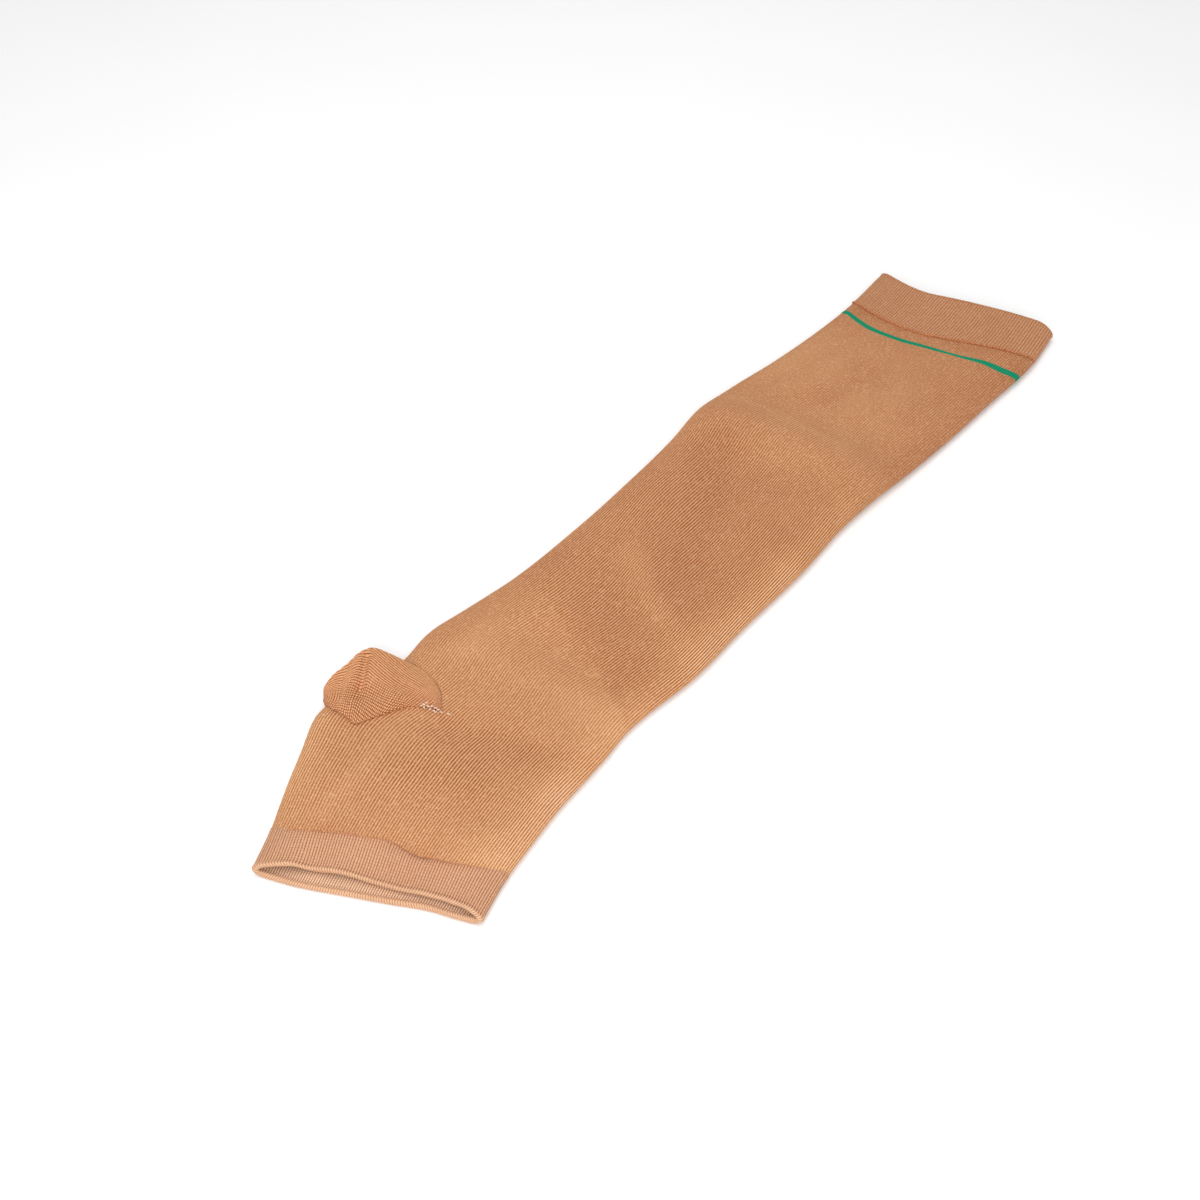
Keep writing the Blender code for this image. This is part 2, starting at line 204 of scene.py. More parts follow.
# Where the ribs stand open and show more of their grooves, above 0, and where the knit lies
# closed, below 0
RIB_OPENNESS: tuple[Streak, ...] = (
    Streak(-36.0, 82.0, 34.0, 42.0, 14.0, 0.3),
    Streak(-28.0, 196.0, 28.0, 106.0, 13.0, 0.3),
    Streak(-6.0, -68.0, 18.0, -48.0, 12.0, 0.25),
    Streak(-8.0, -38.0, 40.0, -22.0, 8.0, 0.25),
    Streak(-6.0, 262.0, 2.0, 296.0, 8.0, 0.08),
    Streak(40.0, 280.0, 50.0, 345.0, 9.0, 0.18),
    Streak(-44.0, 50.0, -32.0, 8.0, 8.0, -0.25),
    Streak(10.0, 160.0, 30.0, 180.0, 12.0, -0.2),
    Streak(-14.0, -102.0, -20.0, -55.0, 5.0, -0.3),
    Streak(26.0, 6.0, 46.0, 12.0, 12.0, -0.2),
    Streak(-14.0, 106.0, 26.0, 78.0, 7.0, -0.25),
)

# Where the yarn is drawn deeper, above 0, or paler, below 0: partly the yarn's own tone, and
# partly painted shade in the calf's dark patches, the creases from the gore end and the ankle
# notch and the band below the welt seam, a painted shadow along the shin-side edge near the
# knee, and painted highlights along the shin-side and heel-side edges and the pressed edge
# behind the ridge
TONE_AND_PAINTED_SHADING_STREAKS: tuple[Streak, ...] = (
    Streak(-36.0, 84.0, 34.0, 42.0, 14.0, 0.2),
    Streak(-28.0, 198.0, 16.0, 116.0, 12.0, 0.2),
    Streak(-6.0, -68.0, 16.0, -50.0, 12.0, 0.06),
    Streak(-14.0, -30.0, 44.0, -14.0, 3.5, 0.1),
    Streak(-6.0, 268.0, 2.0, 292.0, 8.0, 0.14),
    Streak(56.0, 240.0, 60.0, 364.0, 9.0, 0.3),
    Streak(40.0, 296.0, 50.0, 345.0, 10.0, 0.1),
    Streak(-44.0, 350.0, 40.0, 358.0, 7.0, 0.2),
    Streak(-46.0, 262.0, -44.0, 330.0, 7.0, -0.14),
    Streak(-24.0, 262.0, -20.0, 306.0, 6.0, -0.12),
    Streak(20.0, 300.0, 30.0, 262.0, 7.0, -0.12),
    Streak(-40.0, 4.0, 50.0, 22.0, 9.0, -0.12),
    Streak(44.0, 70.0, 50.0, 96.0, 9.0, -0.2),
    Streak(62.0, -95.0, 58.0, -30.0, 14.0, -0.75),
    Streak(-46.0, 10.0, -46.0, 50.0, 10.0, 0.3),
    Streak(56.0, -30.0, 54.0, 60.0, 11.0, -0.32),
    Streak(58.0, 75.0, 56.0, 140.0, 13.0, -0.85),
    Streak(54.0, 150.0, 54.0, 195.0, 10.0, -0.35),
    Streak(-42.0, -98.0, -56.0, -66.0, 9.0, -0.6),
    Streak(-10.0, 358.0, 50.0, 372.0, 6.0, 0.15),
    Streak(-14.0, 106.0, 26.0, 78.0, 7.0, -0.1),
    Streak(-50.0, 20.0, -44.0, 60.0, 5.0, -0.08),
    Streak(-47.0, 237.0, 30.0, 232.5, 3.0, -0.3),
    Streak(-56.0, 216.0, -50.0, 90.0, 3.0, -0.4),
    Streak(54.0, 22.0, 36.0, 32.0, 2.5, 0.3),
    Streak(36.0, 32.0, 0.0, 36.0, 2.5, 0.2),
    Streak(-39.0, 278.0, -34.0, 316.0, 6.0, -0.12),
    Streak(12.0, 262.0, 2.0, 298.0, 6.0, -0.12),
)


@dataclass(frozen=True)
class LineRow:
    """How far each knitted-in line or rim runs ahead of a straight one, at a place around."""

    around: float
    toe_rim: float
    cuff_seam: float
    marker: float
    welt_seam: float
    top_rim: float


LINE_ROWS: tuple[LineRow, ...] = (
    LineRow(0.0, -0.5, 1.1, 4.6, 3.0, 4.6),
    LineRow(0.02, 0.6, 0.0, 3.0, -0.3, 2.2),
    LineRow(0.06, 3.4, -0.8, -3.0, -6.1, -2.6),
    LineRow(0.11, 5.9, 0.5, -8.6, -11.0, -6.7),
    LineRow(0.16, 6.9, 1.7, -11.0, -13.6, -8.2),
    LineRow(0.21, 7.3, 2.3, -10.8, -14.0, -6.3),
    LineRow(0.26, 6.8, 2.9, -8.8, -13.3, -4.1),
    LineRow(0.31, 6.4, -0.4, -7.3, -9.2, -2.3),
    LineRow(0.36, 6.5, -1.0, -5.3, -5.6, -0.4),
    LineRow(0.41, 6.2, 0.1, -2.3, -1.7, 1.6),
    LineRow(0.46, 4.6, 2.3, -1.0, 2.2, 3.6),
    LineRow(0.5, 2.2, 4.5, 1.8, 5.8, 1.6),
    LineRow(0.55, 2.0, 2.4, 0.8, 3.0, 1.0),
    LineRow(0.62, 2.7, -0.4, -2.4, -1.2, -0.4),
    LineRow(0.7, 1.4, 0.3, -4.8, -5.4, -1.4),
    LineRow(0.8, 0.0, 1.4, -5.0, -6.6, -1.8),
    LineRow(0.9, -1.3, 1.2, -1.4, -3.0, 0.2),
    LineRow(1.0, -0.5, 1.1, 4.6, 3.0, 4.6),
)


@dataclass(frozen=True)
class GoreRow:
    """Knitted-in heel edges at a share of the way from the gore end to the heel side."""

    share: float
    foot_drop: float
    leg_rise: float


GORE_ROWS: tuple[GoreRow, ...] = (
    GoreRow(0.0, 0.0, 0.0),
    GoreRow(0.23, 3.5, 10.5),
    GoreRow(0.44, 11.0, 16.0),
    GoreRow(0.61, 19.0, 18.5),
    GoreRow(0.76, 19.5, 20.0),
    GoreRow(0.88, 17.0, 21.5),
    GoreRow(1.0, 15.0, 23.0),
)


@dataclass(frozen=True)
class DriftRow:
    """How far the ribs wander towards the shin side, in millimetres, along a section."""

    section: str
    heel_edge: float
    heel_side: float
    middle: float
    shin_side: float
    shin_edge: float


RIB_DRIFT: tuple[DriftRow, ...] = (
    DriftRow("toe_rim", -2.0, -1.1, -0.8, -0.3, 0.1),
    DriftRow("cuff_seam", 0.6, 2.3, 2.1, 1.4, -0.3),
    DriftRow("ball", 2.8, 4.8, 4.5, 2.8, -0.7),
    DriftRow("arch", 4.6, 7.1, 7.8, 4.6, -0.7),
    DriftRow("sole_end", 5.6, 8.7, 9.6, 5.8, -0.4),
    DriftRow("heel", 5.6, 7.5, 7.2, 4.6, 0.1),
    DriftRow("heel_top", 4.6, 5.5, 4.7, 3.5, 0.7),
    DriftRow("ankle", 2.9, 3.6, 3.1, 2.7, 0.9),
    DriftRow("ankle_notch", 1.2, 1.7, 2.4, 2.8, 0.4),
    DriftRow("low_calf", -1.3, 1.9, 4.4, 2.8, -0.8),
    DriftRow("calf", -2.2, 2.4, 1.4, 1.4, -2.0),
    DriftRow("high_calf", -2.7, -1.7, 0.6, -0.9, -4.3),
    DriftRow("fold_foot", -2.8, -0.9, 1.1, -2.4, -5.8),
    DriftRow("fold_top", -2.4, -0.2, 0.4, -1.9, -6.5),
    DriftRow("fold_back", -1.9, -1.1, -1.3, -3.5, -7.3),
    DriftRow("shin", -1.6, -2.2, -3.3, -6.1, -8.1),
    DriftRow("knee_side", -1.8, -3.5, -5.5, -7.7, -8.8),
    DriftRow("welt_seam", -2.2, -4.8, -7.2, -9.0, -9.5),
    DriftRow("top_rim", -2.7, -5.9, -8.6, -10.1, -10.2),
)
DRIFT_AROUND = (0.0, 0.12, 0.25, 0.38, 0.5, 0.75, 1.0)
MEAN_GIRTH = 228.0


def table_columns(rows: Sequence[object]) -> np.ndarray:
    """Turn a table of dataclass rows into an array, one column for each field."""
    return np.array([astuple(row) for row in rows]).T


def steady_slopes(knots: np.ndarray, values: np.ndarray) -> np.ndarray:
    """Slopes at knots with which a curve never runs past its knots.

    Args:
        knots: Rising places of the knots.
        values: The curve's values there, with one row for each knot.

    Returns:
        The slopes, in the shape of values.
    """
    steps = np.diff(values, axis=0) / np.diff(knots)[:, None]
    alike = steps[1:] * steps[:-1]
    total = steps[1:] + steps[:-1]
    inner = np.where(alike > 0.0, 2.0 * alike / np.where(total == 0.0, 1.0, total), 0.0)
    return np.concatenate((steps[:1], inner, steps[-1:]))


def ease_between(ends: tuple[np.ndarray, np.ndarray], slopes: tuple[np.ndarray, np.ndarray],
                 span: np.ndarray, share: np.ndarray) -> np.ndarray:
    """Run smoothly from one knot to the next.

    Args:
        ends: Values at the two knots.
        slopes: Slopes there.
        span: How far apart the knots are.
        share: How much of the way between them each place is.

    Returns:
        The values at those places.
    """
    ease = share * share * (3.0 - 2.0 * share)
    curve = ends[0] * (1.0 - ease) + ends[1] * ease
    curve = curve + slopes[0] * span * share * (1.0 - share) ** 2
    return curve - slopes[1] * span * share ** 2 * (1.0 - share)


def smooth_read(at: np.ndarray, knots: np.ndarray, values: np.ndarray,
                steady: bool = False) -> np.ndarray:
    """Read a smooth curve through knots.

    Args:
        at: Places to read, of any shape.
        knots: Rising places of the knots.
        values: The curve's values there, with one row for each knot.
        steady: Whether the curve keeps between its knots; each row is then a row of values.

    Returns:
        The values, in the shape of at and then that of a row.
    """
    slopes = steady_slopes(knots, values) if steady else np.gradient(values, knots, axis=0)
    before = np.clip(np.searchsorted(knots, at, side="right") - 1, 0, len(knots) - 2)
    span = knots[before + 1] - knots[before]
    share = (at - knots[before]) / span
    while share.ndim < values[before].ndim:
        share, span = share[..., None], span[..., None]
    return ease_between((values[before], values[before + 1]),
                        (slopes[before], slopes[before + 1]), span, share)


def streak_sum(streaks: Sequence[Streak], x: np.ndarray, y: np.ndarray) -> np.ndarray:
    """Add up streaks at plan places.

    Args:
        streaks: The streaks.
        x: The places' distances across, in millimetres.
        y: Their distances up.

    Returns:
        The sum at each place.
    """
    total = np.zeros_like(x)
    for streak in streaks:
        run_x = streak.right_x - streak.left_x
        run_y = streak.right_y - streak.left_y
        share = (x - streak.left_x) * run_x + (y - streak.left_y) * run_y
        share = np.clip(share / (run_x ** 2 + run_y ** 2), 0.0, 1.0)
        away = np.hypot(x - streak.left_x - share * run_x, y - streak.left_y - share * run_y)
        total += streak.strength * np.exp(-(away / streak.half_width) ** 2)
    return total


def blend_step(low: float, high: float, at: np.ndarray) -> np.ndarray:
    """Rise smoothly from 0 at low to 1 at high."""
    share = np.clip((at - low) / (high - low), 0.0, 1.0)
    return share * share * (3.0 - 2.0 * share)


def triangle_wave(turns: np.ndarray) -> np.ndarray:
    """Run from 0 at whole turns up to 1 half-way between them, and back."""
    return 1.0 - np.abs(2.0 * (turns % 1.0) - 1.0)


class ClothForm:
    """The laid sleeve's surface, which every piece is fitted to."""

    def __init__(self) -> None:
        """Read the surface's tables from the sections and folds."""
        self.rows = np.array([astuple(section) for section in SECTIONS.values()])
        middles = (self.rows[:, 0:2] + self.rows[:, 2:4]) / 2.0
        steps = np.linalg.norm(np.diff(middles, axis=0), axis=1)
        self.section_at = np.concatenate(([0.0], np.cumsum(steps)))
        self.place = dict(zip(SECTIONS, self.section_at))
        self.place["marker"] = self.place["welt_seam"] - MARKER_BELOW_WELT
        self.line_table = dict(zip(LineRow.__annotations__, table_columns(LINE_ROWS)))
        self.gore_table = dict(zip(GoreRow.__annotations__, table_columns(GORE_ROWS)))
        self.alongs = np.arange(-ALONG_OVERRUN, self.section_at[-1] + ALONG_OVERRUN, ALONG_STEP)
        self.outer = self._face(0.0)
        self.inner = self._face(TURNED_WALL)
        self.outward = self._outward()
        self.shift = self._shift_to_parts()

    def _outline(self, along: float, depth: float) -> tuple[np.ndarray, np.ndarray]:
        """Closed outline of a section, over the top and back along the underside.

        Args:
            along: Where the section lies, in millimetres.
            depth: How far inside the outer face the outline runs.

        Returns:
            Each point's place around, and the points.
        """
        values = smooth_read(np.array(along), self.section_at, self.rows)
        section = Section(*values)
        left = np.array((section.left_x, section.left_y))
        right = np.array((section.right_x, section.right_y))
        half = np.linalg.norm(right - left) / 2.0
        sweep = -np.cos(np.linspace(0.0, np.pi, PROFILE_STEPS))
        inside = (half - depth) / half
        plan = ((left + right) / 2.0)[:, None] + (right - left)[:, None] / 2.0 * sweep * inside
        side = section.left_side + (section.right_side - section.left_side) * (sweep + 1.0) / 2.0
        dome = np.sqrt(1.0 - np.abs(sweep) ** DOME_POWER)
        crown = section.crown + streak_sum(UPPER_FOLDS, plan[0], plan[1]) - depth
        corner = np.clip((np.abs(sweep) - 1.0) * half / FLOOR_CORNER + 1.0, 0.0, 1.0)
        lower = depth + (side - depth) * (1.0 - np.sqrt(1.0 - corner ** 2))
        lower += streak_sum(LOWER_FOLDS, plan[0], plan[1]) * (1.0 - corner) ** 2
        top = np.column_stack((plan[0], plan[1], side + (crown - side) * dome))
        bottom = np.column_stack((plan[0], plan[1], lower))[::-1]
        outline = np.concatenate((top, bottom[1:]))
        lengths = np.linalg.norm(np.diff(outline, axis=0), axis=1)
        girth = np.concatenate(([0.0], np.cumsum(lengths)))
        half_way = girth[len(top) - 1]
        on_lower = 0.5 + 0.5 * (girth - half_way) / (girth[-1] - half_way)
        return np.where(girth <= half_way, 0.5 * girth / half_way, on_lower), outline

    def _face(self, depth: float) -> np.ndarray:
        """Table of one face's points.

        Args:
            depth: How far inside the outer face it lies.

        Returns:
            The points, by steps along and then around.
        """
        turns = np.linspace(0.0, 1.0, AROUND_STEPS + 1)
        face = np.empty((len(self.alongs), len(turns), 3))
        for row, along in enumerate(self.alongs):
            places, outline = self._outline(along, depth)
            for axis in range(3):
                face[row, :, axis] = np.interp(turns, places, outline[:, axis])
        face[:, -1] = face[:, 0]
        return face

    def _outward(self) -> np.ndarray:
        """Table of the outer face's unit normals.

        Returns:
            The normals, by steps along and then around.
        """
        wrapped = np.concatenate((self.outer[:, -2:-1], self.outer, self.outer[:, 1:2]), axis=1)
        across = (wrapped[:, 2:] - wrapped[:, :-2]) / 2.0
        normals = np.cross(across, np.gradient(self.outer, axis=0))
        return normals / np.linalg.norm(normals, axis=2, keepdims=True)

    def _shift_to_parts(self) -> np.ndarray:
        """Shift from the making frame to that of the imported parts, from the toe cuff's box.

        Returns:
            The shift in millimetres.
        """
        low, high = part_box("toe_cuff")
        rim = self._outline(TURNED_WALL / 2.0, 0.0)[1]
        lip = self._outline(0.0, TURNED_WALL / 2.0)[1]
        return np.array((high.x / MM - rim[:, 0].max(), low.y / MM - lip[:, 1].min(), 0.0))

    def _read(self, table: np.ndarray, along: np.ndarray, around: np.ndarray) -> np.ndarray:
        """Read a table between its steps.

        Args:
            table: The table, by steps along and then around.
            along: Places up the sleeve, in millimetres.
            around: Fractions of the girth.

        Returns:
            The values at those places.
        """
        row = np.clip((along - self.alongs[0]) / ALONG_STEP, 0.0,
                      len(self.alongs) - 1.0 - TABLE_MARGIN)
        column = (around % 1.0) * AROUND_STEPS
        first_row, first_column = row.astype(int), np.minimum(column.astype(int), AROUND_STEPS - 1)
        up, over = (row - first_row)[..., None], (column - first_column)[..., None]
        here = table[first_row, first_column] * (1.0 - over)
        here = here + table[first_row, first_column + 1] * over
        ahead = table[first_row + 1, first_column] * (1.0 - over)
        ahead = ahead + table[first_row + 1, first_column + 1] * over
        return here * (1.0 - up) + ahead * up

    def points(self, along: np.ndarray, around: np.ndarray, depth: np.ndarray | float = 0.0,
               lift: np.ndarray | float = 0.0) -> np.ndarray:
        """Points of the cloth.

        Args:
            along: Places up the sleeve, in millimetres.
            around: Fractions of the girth.
            depth: Distances in from the outer face.
            lift: Distances out along the outer face's normal.

        Returns:
            Points in millimetres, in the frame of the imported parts.
        """
        along, around = np.broadcast_arrays(along, around)
        share = (np.broadcast_to(depth, along.shape) / TURNED_WALL)[..., None]
        point = self._read(self.outer, along, around) * (1.0 - share)
        point = point + self._read(self.inner, along, around) * share
        rise = np.broadcast_to(lift, along.shape)[..., None]
        return point + self.normals(along, around) * rise + self.shift

    def normals(self, along: np.ndarray, around: np.ndarray) -> np.ndarray:
        """Outward normals of the outer face."""
        return self._read(self.outward, along, around)

    def line(self, name: str, around: np.ndarray) -> np.ndarray:
        """Where a knitted-in line or rim lies along the sleeve, at places around."""
        table = self.line_table
        return self.place[name] + smooth_read(around % 1.0, table["around"], table[name])

    def gore_share(self, around: np.ndarray) -> np.ndarray:
        """0 at the gore ends and over the instep, rising to 1 at the heel side."""
        turn = around % 1.0
        return np.clip(1.0 - np.minimum(turn, 1.0 - turn) / GORE_AROUND, 0.0, 1.0)

    def leg_edge(self, around: np.ndarray) -> np.ndarray:
        """Where the leg knit starts.

        Args:
            around: Fractions of the girth.

        Returns:
            Its places up the sleeve, in millimetres.
        """
        table = self.gore_table
        return self.place["heel"] + smooth_read(
            self.gore_share(around), table["share"], table["leg_rise"])

    def foot_edge(self, around: np.ndarray) -> np.ndarray:
        """Where the foot knit ends.

        Args:
            around: Fractions of the girth.

        Returns:
            Its places up the sleeve, in millimetres.
        """
        table = self.gore_table
        return self.place["heel"] - smooth_read(
            self.gore_share(around), table["share"], table["foot_drop"])

    def drift(self, along: np.ndarray, around: np.ndarray) -> np.ndarray:
        """How far the ribs have wandered round the sleeve.

        Args:
            along: Places up the sleeve, in millimetres.
            around: Fractions of the girth at which the ribs start.

        Returns:
            How far each has wandered, as a fraction of the girth.
        """
        knots = np.array([self.place[row.section] for row in RIB_DRIFT])
        rows = np.array([(row.heel_edge, row.heel_side, row.middle, row.shin_side, row.shin_edge,
                          (row.heel_edge + row.shin_edge) / 2.0, row.heel_edge)
                         for row in RIB_DRIFT])
        places = np.array(DRIFT_AROUND)
        values = smooth_read(along, knots, rows)
        slopes = np.gradient(values, places, axis=1)
        column = np.clip(np.searchsorted(places, around, side="right") - 1, 0, len(places) - 2)
        span = places[column + 1] - places[column]
        share = (around - places[column]) / span

        def both(table: np.ndarray) -> tuple[np.ndarray, np.ndarray]:
            """The table's values before and after each place."""
            pair = np.take_along_axis(table, column[:, None] + np.array((0, 1)), axis=1)
            return pair[:, 0], pair[:, 1]

        return ease_between(both(values), both(slopes), span, share) / MEAN_GIRTH

    def plan(self, points: np.ndarray) -> np.ndarray:
        """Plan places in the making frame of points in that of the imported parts."""
        return points[..., :2] - self.shift[:2]


def linear_colour(code: str) -> tuple[float, float, float, float]:
    """Turn an sRGB colour into a linear one.

    Args:
        code: The colour as a hash sign and six hex digits.

    Returns:
        Its red, green and blue, and full opacity.
    """
    def linear(part: float) -> float:
        """One channel, by the curve that sRGB is defined with."""
        return part / 12.92 if part <= 0.04045 else ((part + 0.055) / 1.055) ** 2.4

    parts = [int(code[place:place + 2], 16) / 255.0 for place in (1, 3, 5)]
    return (*[linear(part) for part in parts], 1.0)


def add_node(material: bpy.types.Material, kind: str, settings: dict[str, object] | None = None,
             inputs: dict[object, object] | None = None) -> bpy.types.Node:
    """Add a shader node.

    Args:
        material: The material it goes in.
        kind: The node's type name without its ShaderNode.
        settings: The node's own properties.
        inputs: For each input, by name or number, a value or the socket that feeds it.

    Returns:
        The node.
    """
    tree = material.node_tree
    node = tree.nodes.new("ShaderNode" + kind)
    for name, value in (settings or {}).items():
        setattr(node, name, value)
    for key, value in (inputs or {}).items():
        if isinstance(value, bpy.types.NodeSocket):
            tree.links.new(value, node.inputs[key])
        else:
            node.inputs[key].default_value = value
    return node


@dataclass(frozen=True)
class KnitFinish:
    """Cotton and elastane weft knit: matt, soft, with lengthways ribs.

    The pattern follows the knit's own UV map, in which one unit across is one rib and one
    unit up is one course. Crests catch the light on a thin nap, and the grooves and the gaps
    between courses show the darker, redder elastic yarn, darkened further as painted shade in
    these recesses. A tone attribute mixes in more of the groove colour, for the yarn's depth
    and as painted shade, and below 0 pales the crests as painted light.
    """

    name: str
    crest: str
    groove: str
    fleck: str
    groove_width: float = 0.9       # share of half a rib that the groove's shade covers
    groove_shade: float = 1.0       # how much of the groove's colour shows, at full openness
    groove_rest: float = 0.4        # how much of that is left where the ribs lie closed
    course_shade: float = 0.28      # how much of it shows between the courses
    course_gap: float = 0.32        # share of a course that this shade fades over
    course_slant: float = 0.5       # how far a stitch's legs run up from groove to crest
    rib_bump: float = 0.1           # millimetres
    course_bump: float = 0.08
    nap_bump: float = 0.05
    fleck_share: float = 0.45
    fleck_size: float = 1.0         # millimetres: coarser than the fibres, so that it shows
    fleck_range: tuple[float, float] = (0.48, 0.72)     # noise where flecks start and are full
    blotch_share: float = 0.08
    blotch_size: float = 34.0       # millimetres
    blotch_range: tuple[float, float] = (0.38, 0.66)
    tone_share: float = 0.4         # how much of the groove's colour full tone mixes in: yarn depth and painted shade
    roughness: float = 0.92
    sheen: float = 0.35

    def material(self) -> bpy.types.Material:
        """Build the material.

        Returns:
            The material.
        """
        made = bpy.data.materials.new(self.name)
        made.use_nodes = True
        made.node_tree.nodes.clear()
        uv = add_node(made, "UVMap", {"uv_map": UV_LAYER})
        axes = add_node(made, "SeparateXYZ", {}, {0: uv.outputs["UV"]})
        place = add_node(made, "TexCoord").outputs["Object"]
        openness = add_node(made, "Attribute", {"attribute_name": OPEN_LAYER}).outputs["Fac"]
        tone = add_node(made, "Attribute", {"attribute_name": TONE_LAYER}).outputs["Fac"]

        # 0 in a groove and 0.5 on a crest; the same from course to course
        rib = add_node(made, "Math", {"operation": "PINGPONG"},
                       {0: axes.outputs["X"], 1: 0.5}).outputs[0]
        slanted = add_node(made, "Math", {"operation": "MULTIPLY_ADD"},
                           {0: rib, 1: self.course_slant, 2: axes.outputs["Y"]}).outputs[0]
        course = add_node(made, "Math", {"operation": "PINGPONG"}, {0: slanted, 1: 0.5}).outputs[0]

        # grooves and gaps between courses take the groove colour: the redder elastic yarn, darkened
        # further as painted shade in these recesses
        groove = add_node(made, "MapRange", {"interpolation_type": "SMOOTHSTEP"}, {
            "Value": rib, "From Min": 0.0, "From Max": 0.5 * self.groove_width,
            "To Min": self.groove_shade, "To Max": 0.0}).outputs["Result"]
        between = add_node(made, "MapRange", {"interpolation_type": "SMOOTHSTEP"}, {
            "Value": course, "From Min": 0.0, "From Max": self.course_gap,
            "To Min": self.course_shade, "To Max": 0.0}).outputs["Result"]
        # the grooves never quite close
        opened = add_node(made, "MapRange", {}, {
            "Value": openness, "To Min": self.groove_rest}).outputs["Result"]
        open_groove = add_node(made, "Math", {"operation": "MULTIPLY"},
                               {0: groove, 1: opened}).outputs[0]
        shade = add_node(made, "Math", {"operation": "MAXIMUM"},
                         {0: open_groove, 1: between}).outputs[0]

        # melange of the yarn, and the slow change from skein to skein
        yarn = add_node(made, "TexNoise", {}, {
            "Vector": place, "Scale": 1.0 / (self.fleck_size * MM), "Detail": 3.0,
            "Roughness": 0.7})
        flecks = add_node(made, "MapRange", {}, {
            "Value": yarn.outputs["Fac"], "From Min": self.fleck_range[0],
            "From Max": self.fleck_range[1], "To Min": 0.0,
            "To Max": self.fleck_share}).outputs["Result"]
        blotch = add_node(made, "TexNoise", {}, {
            "Vector": place, "Scale": 1.0 / (self.blotch_size * MM), "Detail": 4.0,
            "Roughness": 0.55})
        skein_tone_and_painted_shade = add_node(made, "MapRange", {}, {
            "Value": blotch.outputs["Fac"], "From Min": self.blotch_range[0],
            "From Max": self.blotch_range[1], "To Min": 0.0,
            "To Max": self.blotch_share}).outputs["Result"]
        # the tone attribute adds the yarn's depth and painted shade to the skein blotches
        skein_tone_and_painted_shade = add_node(made, "Math", {"operation": "MULTIPLY_ADD", "use_clamp": True},
                        {0: tone, 1: self.tone_share, 2: skein_tone_and_painted_shade}).outputs[0]

        crest, deep, fleck = (linear_colour(code) for code in (self.crest, self.groove, self.fleck))
        warmed = add_node(made, "Mix", {"data_type": "RGBA"},
                          {"Factor": skein_tone_and_painted_shade, "A": crest, "B": deep}).outputs["Result"]
        # where the tone is below 0 the crests are drawn paler as painted light, and the grooves stay as
        # they are
        pale = add_node(made, "MapRange", {}, {"Value": tone, "From Min": 0.0, "From Max": -1.0})
        lifted = add_node(made, "Mix", {"data_type": "RGBA"},
                          {"Factor": pale.outputs["Result"], "A": warmed, "B": fleck})
        ribbed = add_node(made, "Mix", {"data_type": "RGBA"}, {
            "Factor": shade, "A": lifted.outputs["Result"], "B": deep}).outputs["Result"]
        flecked = add_node(made, "Mix", {"data_type": "RGBA"},
                           {"Factor": flecks, "A": ribbed, "B": fleck})

        relief = add_node(made, "Math", {"operation": "MULTIPLY"},
                          {0: rib, 1: 2.0 * self.rib_bump}).outputs[0]
        relief = add_node(made, "Math", {"operation": "MULTIPLY_ADD"},
                          {0: course, 1: 2.0 * self.course_bump, 2: relief}).outputs[0]
        relief = add_node(made, "Math", {"operation": "MULTIPLY_ADD"},
                          {0: yarn.outputs["Fac"], 1: self.nap_bump, 2: relief}).outputs[0]
        bump = add_node(made, "Bump", {}, {"Strength": 1.0, "Distance": MM, "Height": relief})
        shader = add_node(made, "BsdfPrincipled", {}, {
            "Base Color": flecked.outputs["Result"], "Roughness": self.roughness,
            "Metallic": 0.0, "Specular IOR Level": 0.25, "Sheen Weight": self.sheen,
            "Sheen Roughness": 0.45, "Sheen Tint": crest, "Normal": bump.outputs["Normal"]})
        add_node(made, "OutputMaterial", {}, {"Surface": shader.outputs["BSDF"]})
        return made


@dataclass(frozen=True)
class ThreadFinish:
    """Twisted sewing or elastic thread: matt, a little shaded along its length."""

    name: str
    light: str
    dark: str
    grain: float = 0.6              # millimetres: coarser than the ply's twist, to show
    grain_range: tuple[float, float] = (0.35, 0.65)     # noise where it is dark and light
    grain_bump: float = 0.1         # millimetres
    roughness: float = 0.85

    def material(self) -> bpy.types.Material:
        """Build the material.

        Returns:
            The material.
        """
        made = bpy.data.materials.new(self.name)
        made.use_nodes = True
        made.node_tree.nodes.clear()
        place = add_node(made, "TexCoord").outputs["Object"]
        twist = add_node(made, "TexNoise", {}, {
            "Vector": place, "Scale": 1.0 / (self.grain * MM), "Detail": 2.0}).outputs["Fac"]
        shade = add_node(made, "MapRange", {}, {
            "Value": twist, "From Min": self.grain_range[0],
            "From Max": self.grain_range[1]}).outputs["Result"]
        colour = add_node(made, "Mix", {"data_type": "RGBA"}, {
            "Factor": shade, "A": linear_colour(self.dark), "B": linear_colour(self.light)})
        bump = add_node(made, "Bump", {}, {
            "Strength": 0.6, "Distance": self.grain_bump * MM, "Height": twist})
        shader = add_node(made, "BsdfPrincipled", {}, {
            "Base Color": colour.outputs["Result"], "Roughness": self.roughness,
            "Metallic": 0.0, "Specular IOR Level": 0.3, "Normal": bump.outputs["Normal"]})
        add_node(made, "OutputMaterial", {}, {"Surface": shader.outputs["BSDF"]})
        return made


# Cotton and covered elastane, rib knitted: dry tan crests, and red-brown elastic between them, darkened
# as painted shade in the grooves
BODY_FINISH = KnitFinish("tan_body_knit", "#E2AD7A", "#863A10", "#F2CAA6", tone_share=0.6)
# The same yarn knitted double and steamed: a paler, denser rib with short slanting stitches
CUFF_FINISH = KnitFinish("tan_cuff_rib", "#DAB08D", "#8F4C28", "#EECBAC", course_slant=0.9,
                         course_shade=0.36, groove_width=0.62, fleck_share=0.25,
                         tone_share=0.6)
